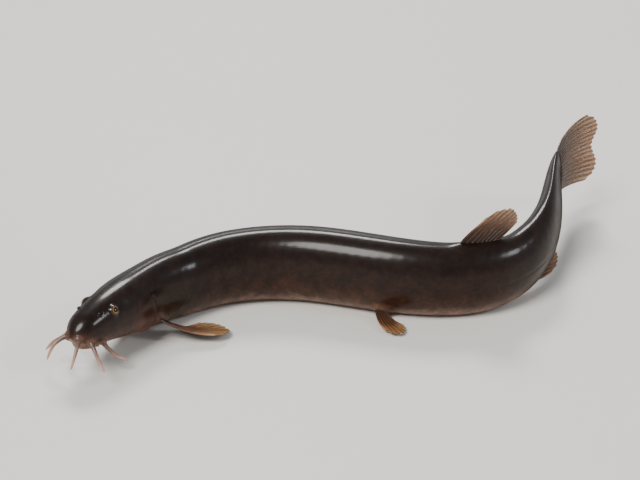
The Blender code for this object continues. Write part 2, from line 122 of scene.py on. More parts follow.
# Place along the standard length, half width, back, belly and power of the section, as in the solids
STATIONS = (
    (0.000, 0.45, 0.29, 0.28, 2.0),
    (0.021, 0.56, 0.42, 0.36, 2.1),
    (0.043, 0.66, 0.53, 0.44, 2.2),
    (0.064, 0.74, 0.61, 0.52, 2.2),
    (0.093, 0.83, 0.69, 0.63, 2.2),
    (0.122, 0.87, 0.74, 0.73, 2.2),
    (0.155, 0.86, 0.79, 0.79, 2.2),
    (0.200, 0.90, 0.85, 0.85, 2.2),
    (0.314, 0.98, 0.95, 0.95, 2.2),
    (0.486, 1.00, 1.00, 1.00, 2.2),
    (0.657, 0.92, 0.96, 0.95, 2.1),
    (0.771, 0.75, 0.87, 0.83, 2.0),
    (0.871, 0.52, 0.77, 0.72, 1.9),
    (0.943, 0.37, 0.72, 0.68, 1.8),
    (1.000, 0.27, 0.75, 0.72, 1.8),
)
# Height of the belly line over the floor: place along the standard length, millimetres
LIFT = (
    (0.000, 3.4),
    (0.064, 2.3),
    (0.133, 1.0),
    (0.200, 0.25),
    (0.250, -0.16),
    (0.680, -0.16),
    (0.743, 0.35),
    (0.800, 1.4),
    (0.857, 2.6),
    (0.943, 3.8),
    (1.000, 4.2),
)
TAIL_FIN_RISE = 0.6 * MM

# The skin's rings: place in millimetres, spacing there
RING_SPACING = (
    (1.8, 0.056),
    (2.3, 0.042),
    (5.0, 0.042),
    (5.6, 0.058),
    (6.6, 0.092),
    (12.4, 0.092),
    (15.0, 0.29),
    (67.0, 0.29),
    (70.5, 0.16),
)
SNOUT_RINGS = 32
END_RINGS = 12
SKIN_SIDES = 220
# At the eyes' and the mouth's height: how many more lines, as a share, angle up in radians, its spread
CLOSER_LINES = (
    (1.3, 0.70, 0.30),
    (0.5, -1.15, 0.45),
)
FLOOR_EDGE = 0.10 * MM  # rounding of the flat that the belly rests on
WEDGE_DROP = 0.05  # share of the height that the wedge loses towards its end
# Depth, and half width in radians
MIDLINE_SIZE = (0.035 * MM, 0.05)
FURROW_SIZE = (0.04 * MM, 0.07)
UNEVENNESS = 0.012 * MM
BARE_BELLY = (0.36, 0.46)  # where the scales fade, in shares of the girth from the middle of the back

# Swellings and dips of the head: height and place in millimetres, its spread, angle up in radians, its spread
HEAD_SWELLINGS = (
    (0.10, 7.4, 1.5, -0.15, 0.6),  # gill cover
    (0.05, 5.6, 0.8, -0.50, 0.4),  # cheek
    (-0.05, 5.6, 0.6, 0.75, 0.3),  # behind the eye
)
# The gills' colour through their cover: how strong, and then as above
GILL_BLUSH = (0.35, 7.6, 1.4, -0.45, 0.5)
# Depth, and half width in radians
THROAT_CLEFT_SIZE = (0.06 * MM, 0.10)
THROAT_FOLD_SIZE = (0.022 * MM, 0.03)
THROAT_FOLD_ANGLES = (-1.28, -1.12, -0.98)  # up from mid-height, in radians
THROAT_FOLD_SWAY = 0.05  # radians to each side
THROAT_FOLD_WAVE = 1.1 * MM
GILL_EDGE = (0.13 * MM, 0.55 * MM)  # height and width
GILL_EDGE_BLUSH = (0.4, 0.25 * MM)  # how strong and how far
GILL_SLIT = (0.17 * MM, 0.20 * MM)  # depth and width
GILL_SLIT_STEP = 0.10 * MM  # from the cover's edge back to the slit
GILL_SLIT_SHADOW = 0.22 * MM  # how far the painted shade in the slit reaches
EYE_RADIUS = 0.66 * MM
EYE_ANGLE = math.radians(38)
EYE_SUNK = 0.34 * MM
EYE_OPENING = 0.50 * MM
EYE_SKIN = 0.02 * MM
EYE_RIM_HEIGHT = 0.015 * MM
EYE_RIM_WIDTH = 0.09 * MM
EYE_PAINTED_SHADE = (0.6, 0.05 * MM)  # painted shade round the eye's opening: how dark and how far
UNDER_EYE_DEPTH = 0.12 * MM
UNDER_EYE_EDGE = (-0.06 * MM, 0.05 * MM)  # where it rises to the rim, measured outwards from the opening
NOSTRIL_ANGLE = math.radians(50)
NOSTRIL_TUBE = (0.27, 0.11, 0.10)  # height, radius and width of its rim in millimetres
NOSTRIL_TUBE_SUNK = 0.10 * MM
NOSTRIL_FILLET = 0.03 * MM
HIND_NOSTRIL_STEP = 0.42 * MM
CHEEK_SLIT_ENDS = (3.5, 4.5)  # places along in millimetres
CHEEK_SLIT_ANGLE = math.radians(9)
CHEEK_SLIT_DROOP = 0.09  # of its ends, in radians
CHEEK_SLIT_RIM = (0.09, 0.06)  # radius and width in millimetres
# Openings in the head's skin, in millimetres: depth and width of the pit, how dark its painted shade is and
# how far, and the height, radius and width of a rim
PORE = {"pit": (0.04, 0.06), "dark": (0.5, 0.05), "rim": (0.012, 0.10, 0.05)}
NOSTRIL = {"pit": (0.20, 0.065), "dark": (1, 0.07)}
HIND_NOSTRIL = {"pit": (0.11, 0.08), "dark": (1, 0.085), "rim": (0.02, 0.13, 0.06)}
CHEEK_SLIT = {"pit": (0.05, 0.05), "dark": (0.6, 0.05)}
MOUTH_SLIT = {"pit": (0.34, 0.10), "dark": (1, 0.13)}
MOUTH_HALF_WIDTH = 1.10 * MM
MOUTH_FRONT = 0.90 * MM
MOUTH_CORNER = 2.25 * MM
MOUTH_SLIT_STEP = 0.62 * MM  # from the upper lip's middle back to the slit
MOUTH_SLIT_SHARE = 0.74  # of the mouth's width
LIP_RADIUS = 0.34 * MM
LIP_HEIGHT = 0.85  # share of the radius, as are the next two
LOBE_HEIGHT = 0.9
LOBE_REACH = 1.05
LIP_FOLDS = 17
LIP_FOLD_DEPTH = 0.07  # share of the lip's height
LIP_PALENESS = 0.32 * MM  # how far from the lips the skin is pale
FILLET = 0.05 * MM  # where raised forms meet the skin
# A lobe of the lower lip: places along and across in millimetres, fullness, and stand off the skin
LOWER_LIP = (
    (2.30, 0.92, 0.50, 0.00),
    (2.06, 0.62, 0.78, 0.04),
    (2.12, 0.34, 0.92, 0.08),
    (2.62, 0.32, 0.78, 0.14),
    (3.25, 0.44, 0.48, 0.26),
)
LOBE_FOLDS = 9
LOBE_FOLD_DEPTH = 0.08
# Pores of the sense lines on one side of the head: place along in millimetres, angle in degrees
HEAD_PORES = (
    (1.5, 64),
    (2.3, 68),
    (3.3, 67),
    (4.4, 64),
    (5.4, 60),
    (6.4, 52),
    (1.9, 15),
    (2.8, 12),
    (5.0, 10),
    (5.7, 22),
    (6.3, 36),
    (4.2, -50),
    (5.0, -40),
    (5.9, -26),
    (6.6, -9),
)

# Barbels: name, place along in millimetres, angle in degrees, the tip's way from the root in millimetres
BARBELS = (
    ("barbel_inner", 0.28, -12, (-1.9, 0.7, -1.9)),
    ("barbel_outer", 1.20, -24, (-0.8, 2.2, -2.0)),
    ("barbel_corner", 2.75, -40, (1.3, 1.9, -1.9)),
)
BARBEL_RADII = (
    (0.0, 0.30),
    (0.10, 0.235),
    (0.35, 0.20),
    (0.75, 0.145),
    (0.93, 0.10),
    (0.98, 0.065),
    (1.0, 0.02),
)
BARBEL_SQUARENESS = 0.42  # how far it grows straight out of the skin before it bends
BARBEL_SWAY = 0.07 * MM
BARBEL_ROOT_DEPTH = 0.25 * MM
BARBEL_CONE = (0.30 * MM, 0.52 * MM)  # height and radius of the flesh round the root
BARBEL_CONE_FILLET = 0.06 * MM
BARBEL_CONE_PALENESS = (0.8, 0.5 * MM)  # how pale and how far
BARBEL_WRINKLES = {"Groove Spacing": 0.17 * MM, "Groove Depth": 0.012}

# Fins: places, bases and ray lengths as in the solids
MEDIAN_FINS = {
    "dorsal_fin": {
        "upward": 1,
        "start": 46.0 * MM,
        "base": 4.6 * MM,
        "leans": (60, 30),
        "tilt": 10,
        "lengths": ((0.00, 3.9), (0.15, 5.0), (0.35, 5.3), (0.70, 4.6), (1.00, 3.1)),
        "rays": 9,
    },
    "anal_fin": {
        "upward": -1,
        "start": 55.0 * MM,
        "base": 3.7 * MM,
        "leans": (33, 19),
        "tilt": 52,
        "lengths": ((0.00, 3.3), (0.18, 4.3), (0.40, 4.6), (0.70, 4.1), (1.00, 2.9)),
        "rays": 8,
    },
}
PAIRED_FINS = {
    "pectoral_fin": {
        "start": 10.5 * MM,
        "base": 1.6 * MM,
        "roots": (-26, -42),
        "leans": (72, 24),
        "clearance": 0.55 * MM,
        "fall": 0.9 * MM,
        "lengths": ((0.00, 5.2), (0.15, 6.2), (0.35, 6.4), (0.65, 5.5), (1.00, 3.4)),
        "rays": 10,
    },
    "pelvic_fin": {
        "start": 38.2 * MM,
        "base": 1.1 * MM,
        "roots": (-42, -46),
        "leans": (64, 34),
        "clearance": 0.5 * MM,
        "fall": 0.2 * MM,
        "lengths": ((0.00, 3.1), (0.20, 3.9), (0.40, 4.1), (0.70, 3.5), (1.00, 2.3)),
        "rays": 7,
    },
}
MEDIAN_FIN_CURL = 0.18
PAIRED_FIN_CURL = 0.15
FIN_REST_HEIGHT = 0.40 * MM
RAY_JOINTS = {"Groove Depth": 0.11, "Groove Sharpness": 5.0, "Sides": 8, "Step": 0.045 * MM}
TAIL_FIN_RAYS = 16
TAIL_FIN_ROOT = 0.92  # share of the body's depth where the fin starts
TAIL_FIN_HALF_HEIGHT = 4.2 * MM
TAIL_FIN_FLARE = 0.25
TAIL_FIN_RIPPLE = 0.16 * MM
TAIL_FIN_END = ((0.0, 0.82), (0.09, 0.95), (0.24, 1.0), (0.5, 0.94), (0.76, 1.0), (0.91, 0.95), (1.0, 0.82))
# Flesh round the fins' roots: width and height in millimetres, and how pale it is
MEDIAN_ROOT = (0.75, 0.20, 0.0)
PAIRED_ROOT = (0.60, 0.36, 0.35)
ROOT_LINE = -0.02  # where that flesh is highest, as a share of the rays
ROOT_REACH = 6 * MM  # skin further than this from a fin's root isn't raised
RAY_TAPER = 0.45  # share of its thickness that a ray loses by its tip
STOUT_RAY = 1.05  # an unbranched ray's thickness, as a share of the others'
RAY_END = 0.98
FIN_ROOT_DEPTH = -0.09  # share of a ray's length that is sunk in the flesh
FORK_AT = 0.40  # share of a ray's length before it forks, give or take a little
FORK_WANDER = 0.05
SECOND_FORK_AFTER = 0.30
FORK_OVERLAP = 0.02
FORK_SPREAD = 0.24  # how far a ray's branches part, as a share of the way to the next ray
TWIG_SPREAD = 0.11
# A ray's branch and a branch's twig: points down it, its thickness at the start and what that loses by the
# end, both as shares of the ray's
BRANCH = (18, 0.62, 0.42)
TWIG = (12, 0.36, 0.20)
WEB_ROWS = 44
WEB_COLUMNS = 8  # between one ray and the next
WEB_NOTCH = 0.18 * MM  # between the tips of two rays
WEB_TAPER = (1.8, 1.2)  # thickness at the root and what it loses by the edge, as shares

EYE_RINGS = 73
EYE_SIDES = 72

# The pale room: height and colour, from the horizon up
ROOM = (
    (0.0, (0.95, 0.95, 0.96)),
    (0.30, (0.46, 0.48, 0.52)),
    (1.0, (0.34, 0.36, 0.40)),
)
AIM_SHIFT = (-0.0035, 0.0023, 0.0)
NEAREST_SEEN = 0.005  # where the camera's view starts
LIGHT_DISTANCE = 0.5
FLOOR_HALF_WIDTH = 3.0
# Soft studio lights, far away: name, azimuth, elevation and breadth in degrees, strength, colour
LIGHTS = (
    ("key", -68, 52, 26, 4.3, (1.0, 0.97, 0.93)),
    ("fill", 50, 34, 13, 0.9, (0.92, 0.96, 1.0)),
    ("back", 158, 44, 16, 2.0, (1.0, 0.99, 0.97)),
)


# Numbers and curves


def linear(hex_colour):
    """An sRGB hex colour as linear red, green and blue."""
    shares = [int(hex_colour[i : i + 2], 16) / 255 for i in (1, 3, 5)]
    return tuple(s / 12.92 if s <= 0.04045 else ((s + 0.055) / 1.055) ** 2.4 for s in shares)


def unit(ways):
    """Ways made one long."""
    return ways / np.maximum(np.linalg.norm(ways, axis=-1, keepdims=True), 1e-12)


def ramp(values, start, end):
    """0 before start, 1 after end, and a smooth rise between them."""
    share = np.clip((values - start) / (end - start), 0, 1)
    return share * share * (3 - 2 * share)


def plateau(values, start, full, fading, gone):
    """0 outside the start and the end of a stretch, 1 in its middle, and smooth slopes between."""
    return ramp(values, start, full) * (1 - ramp(values, fading, gone))


def bell(values, width):
    """1 at 0, falling off smoothly on both sides within a width."""
    return np.exp(-((values / width) ** 2))


def curve_through(rows, at, column=1):
    """Height at places of a smooth curve through a column of rows, which never overshoots them."""
    xs = np.array([row[0] for row in rows], float)
    ys = np.array([row[column] for row in rows], float)
    steps = np.diff(xs)
    slopes = np.diff(ys) / steps
    tangents = np.zeros(len(xs))
    tangents[0], tangents[-1] = slopes[0], slopes[-1]
    same_way = slopes[:-1] * slopes[1:] > 0
    harmonic = 2 * slopes[:-1] * slopes[1:] / np.where(same_way, slopes[:-1] + slopes[1:], 1)
    tangents[1:-1] = np.where(same_way, harmonic, 0)
    at = np.clip(at, xs[0], xs[-1])
    row = np.clip(np.searchsorted(xs, at) - 1, 0, len(steps) - 1)
    t = (at - xs[row]) / steps[row]
    return (
        ys[row] * (1 + 2 * t) * (1 - t) ** 2
        + ys[row + 1] * t**2 * (3 - 2 * t)
        + tangents[row] * steps[row] * t * (1 - t) ** 2
        - tangents[row + 1] * steps[row] * t**2 * (1 - t)
    )


def nearest_on_path(points, path):
    """Each point's distance to a path, and the share of the way along the path where it is nearest."""
    starts, ways = path[:-1], np.diff(path, axis=0)
    lengths = np.linalg.norm(ways, axis=1)
    away = points[..., None, :] - starts
    shares = np.clip((away * ways).sum(-1) / lengths**2, 0, 1)
    gaps = np.linalg.norm(away - shares[..., None] * ways, axis=-1)
    near = gaps.argmin(-1)
    run = np.concatenate([[0], np.cumsum(lengths)])
    share = np.take_along_axis(shares, near[..., None], -1)[..., 0]
    return gaps.min(-1), (run[near] + share * lengths[near]) / run[-1]


# The body's form, as in the solids


def section(along):
    """Half width, back, belly and power of the body's section, which closes round the snout."""
    place = along / STANDARD_LENGTH
    cap = np.sqrt(1 - np.clip(1 - along / SNOUT_ROUNDING, 0, 1) ** 2)
    half_width = BODY_WIDTH / 2 * curve_through(STATIONS, place, 1) * cap
    back = BODY_DEPTH / 2 * curve_through(STATIONS, place, 2) * cap
    belly = BODY_DEPTH / 2 * curve_through(STATIONS, place, 3) * cap
    return half_width, back, belly, curve_through(STATIONS, place, 4)


def spine_line():
    """Points down the spine, a small step apart, from the snout to the end of the tail fin."""
    alongs = np.linspace(0, TOTAL_LENGTH, round(TOTAL_LENGTH / SPINE_STEP) + 1)
    swing = HEAD_SWING + (TAIL_SWING - HEAD_SWING) * alongs / TOTAL_LENGTH
    heading = swing * np.cos(2 * math.pi * (alongs - WAVE_START) / WAVE_LENGTH)
    place = alongs / STANDARD_LENGTH
    past = np.clip(alongs - STANDARD_LENGTH, 0, None) / (TOTAL_LENGTH - STANDARD_LENGTH)
    heights = BODY_DEPTH / 2 * curve_through(STATIONS, place, 3)
    heights += curve_through(LIFT, place) * MM + TAIL_FIN_RISE * past
    level = np.sqrt(1 - np.gradient(heights, alongs) ** 2)
    ways = np.column_stack([np.cos(heading), np.sin(heading)]) * level[:, None]
    strides = (ways[1:] + ways[:-1]) / 2 * np.diff(alongs)[:, None]
    plan = np.vstack([[0, 0], np.cumsum(strides, axis=0)])
    return alongs, np.column_stack([plan, heights])


SPINE_ALONGS, SPINE = spine_line()


def on_spine(along):
    """Points on the spine."""
    return np.stack([np.interp(along, SPINE_ALONGS, SPINE[:, axis]) for axis in range(3)], axis=-1)


def spine_frame(along):
    """Points on the spine, with the ways to the tail, to the fish's left and up from there."""
    along = np.asarray(along, float)
    tailward = unit(on_spine(along + 2 * SPINE_STEP) - on_spine(along - 2 * SPINE_STEP))
    left = unit(np.cross(tailward, (0, 0, 1)))
    return on_spine(along), tailward, left, np.cross(left, tailward)


def across_and_up(along, angle):
    """How far to the left and up from the spine the skin is."""
    half_width, back, belly, power = section(along)
    across, up = np.cos(angle), np.sin(angle)
    wide = np.sign(across) * np.abs(across) ** (2 / power) * half_width
    high = np.sign(up) * np.abs(up) ** (2 / power) * np.where(up > 0, back, belly)
    return wide, high


def skin_point(along, angle):
    """Points on the plain skin. What would lie below the floor is pressed flat on it."""
    wide, high = across_and_up(along, angle)
    point, _, left, upward = spine_frame(along)
    place = point + left * wide[..., None] + upward * high[..., None]
    place[..., 2] = np.maximum(place[..., 2], 0)
    return place


def skin_normal(along, angle):
    """The ways out of the skin at points."""
    step, turn = 0.05 * MM, math.radians(2)
    ahead = np.maximum(step, along)
    lengthwise = skin_point(ahead + step, angle) - skin_point(ahead - step, angle)
    round_it = skin_point(ahead, angle + turn) - skin_point(ahead, angle - turn)
    return unit(np.cross(lengthwise, round_it))


def outside(along, angle, gap):
    """Points at a gap outside the plain skin."""
    along, angle = np.broadcast_arrays(np.asarray(along, float), np.asarray(angle, float))
    return skin_point(along, angle) + skin_normal(along, angle) * np.asarray(gap)[..., None]


def both_sides(angle):
    """An angle on the fish's left, and its mirror image on the right."""
    return (("left", angle), ("right", math.pi - angle))


def side_height(angle):
    """The angle above mid-height, the same on both sides of the fish, in radians."""
    return np.arcsin(np.clip(np.sin(angle), -1, 1))


def eye_place(angle):
    """An eye's centre, and the way that it looks."""
    return outside(EYE_AT, angle, -EYE_SUNK), skin_normal(np.float64(EYE_AT), np.float64(angle))


def shift_to_solids():
    """Moves the spine in plan so that the eyes are where the solids have them."""
    low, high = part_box("eye_left")
    middle = np.array((low + high) / 2)
    SPINE[:, :2] += middle[:2] - eye_place(EYE_ANGLE)[0][:2]


def under_head(along, across):
    """Angle at which the underside of the head is a given way to the left of its middle."""
    half_width, _, _, power = section(along)
    share = np.clip(across / half_width, -0.98, 0.98)
    return -np.arccos(np.sign(share) * np.abs(share) ** (power / 2))


def mouth_line(front, half_width, count=31):
    """Points on the underside in a horseshoe from one corner of the mouth to the other."""
    turn = np.linspace(0, math.pi, count)
    along = MOUTH_CORNER + (front - MOUTH_CORNER) * np.sin(turn)
    return skin_point(along, under_head(along, half_width * np.cos(turn)))


# Fins


def between(pair, share):
    """The angle in radians at a share of the way between two in degrees."""
    return np.radians(pair[0] + (pair[1] - pair[0]) * share)


def median_fin(fin):
    """Places on a fin along the back or the belly, for shares across the rays and out along them."""

    def place(u, v):
        u, v = np.broadcast_arrays(u, v)
        root_along = fin["start"] + fin["base"] * u
        _, back, belly, _ = section(root_along)
        root_height = (back if fin["upward"] > 0 else belly) + SMALL_GAP
        lean = between(fin["leans"], u) * (1 - MEDIAN_FIN_CURL * v)
        reach = curve_through(fin["lengths"], u) * MM * v
        point, _, left, up = spine_frame(root_along + reach * np.cos(lean))
        away, bend = reach * np.sin(lean), math.radians(fin["tilt"]) * np.clip(v, 0, 1) ** 0.6
        height = root_height + away * np.cos(bend)
        return point + up * (fin["upward"] * height)[..., None] + left * (away * np.sin(bend))[..., None]

    return place


def paired_fin(fin, side):
    """Places on a fin that fans out from one flank."""

    def place(u, v):
        u, v = np.broadcast_arrays(u, v)
        along = fin["start"] + fin["base"] * u
        angle = between(fin["roots"], u)
        angle = angle if side == "left" else math.pi - angle
        _, tailward, left, _ = spine_frame(along)
        outward = left if side == "left" else -left
        lean = between(fin["leans"], u) * (1 - PAIRED_FIN_CURL * v)
        reach = curve_through(fin["lengths"], u) * MM * v
        spot = outside(along, angle, GAP + fin["clearance"] * (1 - (1 - v) ** 4))
        way = tailward * np.cos(lean)[..., None] + outward * np.sin(lean)[..., None]
        spot = spot + way * reach[..., None]
        spot[..., 2] = np.maximum(spot[..., 2] - fin["fall"] * v * (2 - v), FIN_REST_HEIGHT)
        return spot

    return place


def tail_fin(u, v):
    """Places on the tail fin, from its upper edge to its lower one."""
    u, v = np.broadcast_arrays(u, v)
    _, back, belly, _ = section(np.float64(STANDARD_LENGTH))
    root_height = TAIL_FIN_ROOT * (back - (back + belly) * u)
    spread = TAIL_FIN_HALF_HEIGHT * (1 - 2 * u) - root_height
    length = TOTAL_LENGTH - STANDARD_LENGTH - SMALL_GAP
    point, _, left, up = spine_frame(TOTAL_LENGTH - length * (1 - v * curve_through(TAIL_FIN_END, u)))
    ripple = TAIL_FIN_RIPPLE * np.sin(2.4 * math.pi * u + 0.6) * np.clip(v, 0, 1) ** 1.5
    height = root_height + spread * v * (1 + TAIL_FIN_FLARE * (1 - v))
    return point + up * height[..., None] + left * ripple[..., None]


def all_fins():
    """Each fin's name, its places, how many rays it has, how often they fork, and how many of them don't."""
    fins = [(name, median_fin(fin), fin["rays"], 1, 1) for name, fin in MEDIAN_FINS.items()]
    fins.append(("tail_fin", tail_fin, TAIL_FIN_RAYS, 2, 0))
    for name, fin in PAIRED_FINS.items():
        fins += [(f"{name}_{side}", paired_fin(fin, side), fin["rays"], 1, 1) for side in ("left", "right")]
    return fins


# Meshes


def grid_faces(rows, columns, closed):
    """Faces of a grid of points, which closes on itself across its rows or not."""
    i, j = np.meshgrid(np.arange(rows - 1), np.arange(columns if closed else columns - 1), indexing="ij")
    after = (j + 1) % columns
    corners = (i * columns + j, (i + 1) * columns + j, (i + 1) * columns + after, i * columns + after)
    return np.stack(corners, axis=-1).reshape(-1, 4).tolist()


def mesh_of(name, points, faces, attributes=(), edges=()):
    """A smooth-shaded mesh with a value or a vector kept at each point under each attribute's name."""
    mesh = bpy.data.meshes.new(name)
    mesh.from_pydata(np.reshape(points, (-1, 3)).tolist(), list(edges), faces)
    for label, values in dict(attributes).items():
        values = np.asarray(values, np.float32).ravel()
        kind, slot = ("FLOAT_VECTOR", "vector") if values.size > len(mesh.vertices) else ("FLOAT", "value")
        mesh.attributes.new(label, kind, "POINT").data.foreach_set(slot, values)
    mesh.validate()
    mesh.shade_smooth()
    return mesh


def tidy_solid(mesh):
    """Merges doubles at the poles and turns all faces outwards."""
    bm = bmesh.new()
    bm.from_mesh(mesh)
    bmesh.ops.remove_doubles(bm, verts=bm.verts, dist=1e-7)
    bmesh.ops.recalc_face_normals(bm, faces=bm.faces)
    bm.to_mesh(mesh)
    bm.free()
    mesh.shade_smooth()


def place_in_scene(name, data):
    """A new object in the scene, at the origin, for a mesh, a light or a camera."""
    holder = bpy.data.objects.new(name, data)
    bpy.context.scene.collection.objects.link(holder)
    return holder


def place_piece(name, mesh, slot, *nodes):
    """Puts a finished mesh in the scene as a piece that stands for nodes of the frame."""
    if not mesh.polygons:
        raise RuntimeError(f"{name} has no faces")
    piece = place_in_scene(name, mesh)
    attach(piece, "root")
    if nodes:
        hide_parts(*nodes)


def shape_with_nodes(name, mesh, tree, material, values):
    """The mesh that a tree of geometry nodes makes of a guide mesh, with the tree's named sizes set."""
    guide = place_in_scene(name, mesh)
    maker = guide.modifiers.new(tree.name, "NODES")
    maker.node_group = tree
    values = {"Material": material, **values}
    for socket in tree.interface.items_tree:
        if socket.in_out == "INPUT" and socket.name in values:
            maker[socket.identifier] = values[socket.name]
    graph = bpy.context.evaluated_depsgraph_get()
    made = bpy.data.meshes.new_from_object(guide.evaluated_get(graph))
    made.name = name
    bpy.data.objects.remove(guide)
    bpy.data.meshes.remove(mesh)
    return made


# Node trees


def set_inputs(tree, node, inputs):
    """Sets a node's inputs to values, sockets, or other nodes, which stand for their first output in use."""
    for name, value in dict(inputs).items():
        if isinstance(value, bpy.types.Node):
            value = next(socket for socket in value.outputs if socket.enabled)
        if isinstance(value, bpy.types.NodeSocket):
            tree.links.new(value, node.inputs[name])
        else:
            node.inputs[name].default_value = value


def add_node(tree, kind, inputs=(), stops=(), **settings):
    """A node with its settings, its inputs and, on a colour ramp, its stops."""
    node = tree.nodes.new(kind)
    for name, value in settings.items():
        setattr(node, name, value)
    set_inputs(tree, node, inputs)
    for index, (place, colour) in enumerate(stops):
        elements = node.color_ramp.elements
        element = elements[index] if index < 2 else elements.new(place)
        element.position = place
        element.color = (*colour, 1)
    return node


def new_material(name):
    """A material with its tree and its Principled shader."""
    material = bpy.data.materials.new(name)
    material.use_nodes = True
    return material, material.node_tree, material.node_tree.nodes["Principled BSDF"]


def new_geometry_tree(name, sizes):
    """A tree of geometry nodes with named sizes, and its input and output nodes."""
    tree = bpy.data.node_groups.new(name, "GeometryNodeTree")
    tree.interface.new_socket("Geometry", in_out="INPUT", socket_type="NodeSocketGeometry")
    for label, (kind, value) in sizes.items():
        socket = tree.interface.new_socket(label, in_out="INPUT", socket_type=kind)
        socket.default_value = value
    tree.interface.new_socket("Material", in_out="INPUT", socket_type="NodeSocketMaterial")
    tree.interface.new_socket("Geometry", in_out="OUTPUT", socket_type="NodeSocketGeometry")
    return tree, add_node(tree, "NodeGroupInput").outputs, add_node(tree, "NodeGroupOutput")


# Finishes

MIX_A, MIX_B = 6, 7  # the colour inputs of a Mix node, which has others of the same names
MULTIPLIED = {"data_type": "RGBA", "blend_type": "MULTIPLY"}


def dull_at_a_slant(tree, shader, coat, roughness):
    """Thins the clear coat and roughens what is under it towards the outline.

    Skin isn't flat as glass is, so it doesn't mirror a pale floor there.
    """
    slant = add_node(tree, "ShaderNodeLayerWeight", {"Blend": 0.5}).outputs["Facing"]
    stretch = {"Value": slant, "From Min": 0.6, "From Max": 0.92, "To Min": coat, "To Max": 0.12 * coat}
    film = add_node(tree, "ShaderNodeMapRange", stretch, interpolation_type="SMOOTHSTEP")
    stretch = {"Value": slant, "From Min": 0.6, "From Max": 0.92, "To Max": 0.45}
    more = add_node(tree, "ShaderNodeMapRange", stretch, interpolation_type="SMOOTHSTEP")
    rough = add_node(tree, "ShaderNodeMath", {0: roughness, 1: more}, operation="ADD")
    set_inputs(tree, shader, {"Coat Weight": film, "Roughness": rough})


def toned_outwards(tree, cloud, cloud_share, stops):
    """A colour that changes from a root to a tip, not evenly but in clouds."""
    share = add_node(tree, "ShaderNodeAttribute", attribute_name="share").outputs["Fac"]
    cloud = add_node(tree, "ShaderNodeTexNoise", cloud)
    mixed = add_node(tree, "ShaderNodeMath", {0: cloud, 1: cloud_share, 2: share}, operation="MULTIPLY_ADD")
    return add_node(tree, "ShaderNodeValToRGB", {"Fac": mixed}, stops)


def pigment(tree, upward, cloud, fine, place):
    """The skin's own colour: near black above, brown on the flank and pale below, in cloudy patches."""
    look = bpy.context.scene.loach_skin
    wander = add_node(tree, "ShaderNodeMath", {0: cloud, 1: 0.5, 2: upward}, operation="MULTIPLY_ADD")
    height = add_node(tree, "ShaderNodeMapRange", {"Value": wander, "From Min": -0.78, "From Max": 1.25})
    stops = (
        (0.00, look.belly_colour),
        (0.10, look.belly_colour),
        (0.26, look.low_flank_colour),
        (0.48, look.flank_colour),
        (0.82, look.back_colour),
    )
    body = add_node(tree, "ShaderNodeValToRGB", {"Fac": height}, stops)
    patch = add_node(tree, "ShaderNodeTexNoise", {"Vector": place, "Scale": 1 / (1.3 * MM), "Detail": 2.0})
    stretch = {"Value": fine, "From Min": 0.3, "From Max": 0.7, "To Min": 0.70, "To Max": 1.25}
    shade = add_node(tree, "ShaderNodeMapRange", stretch)
    stretch = {"Value": patch, "From Min": 0.35, "From Max": 0.65, "To Min": 0.76, "To Max": 1.22}
    patchy = add_node(tree, "ShaderNodeMapRange", stretch)
    shade = add_node(tree, "ShaderNodeMath", {0: shade, 1: patchy}, operation="MULTIPLY")
    return add_node(tree, "ShaderNodeMix", {0: 1.0, MIX_A: body, MIX_B: shade}, **MULTIPLIED)


def gaps_between_scales(tree, wrap):
    """Where the skin dips between its scales, as far as it has any."""
    size = bpy.context.scene.loach_skin.scale_size
    flat_edges = {"feature": "DISTANCE_TO_EDGE", "voronoi_dimensions": "2D"}
    scales = {"Vector": wrap, "Scale": 1 / size, "Randomness": 0.85}
    scales = add_node(tree, "ShaderNodeTexVoronoi", scales, **flat_edges)
    stretch = {"Value": scales, "From Min": 0.02, "From Max": 0.34}
    plate = add_node(tree, "ShaderNodeMapRange", stretch, interpolation_type="SMOOTHSTEP")
    gap = add_node(tree, "ShaderNodeMath", {0: 1.0, 1: plate}, operation="SUBTRACT")
    scaly = add_node(tree, "ShaderNodeSeparateXYZ", {0: wrap}).outputs["Z"]
    return add_node(tree, "ShaderNodeMath", {0: gap, 1: scaly}, operation="MULTIPLY")


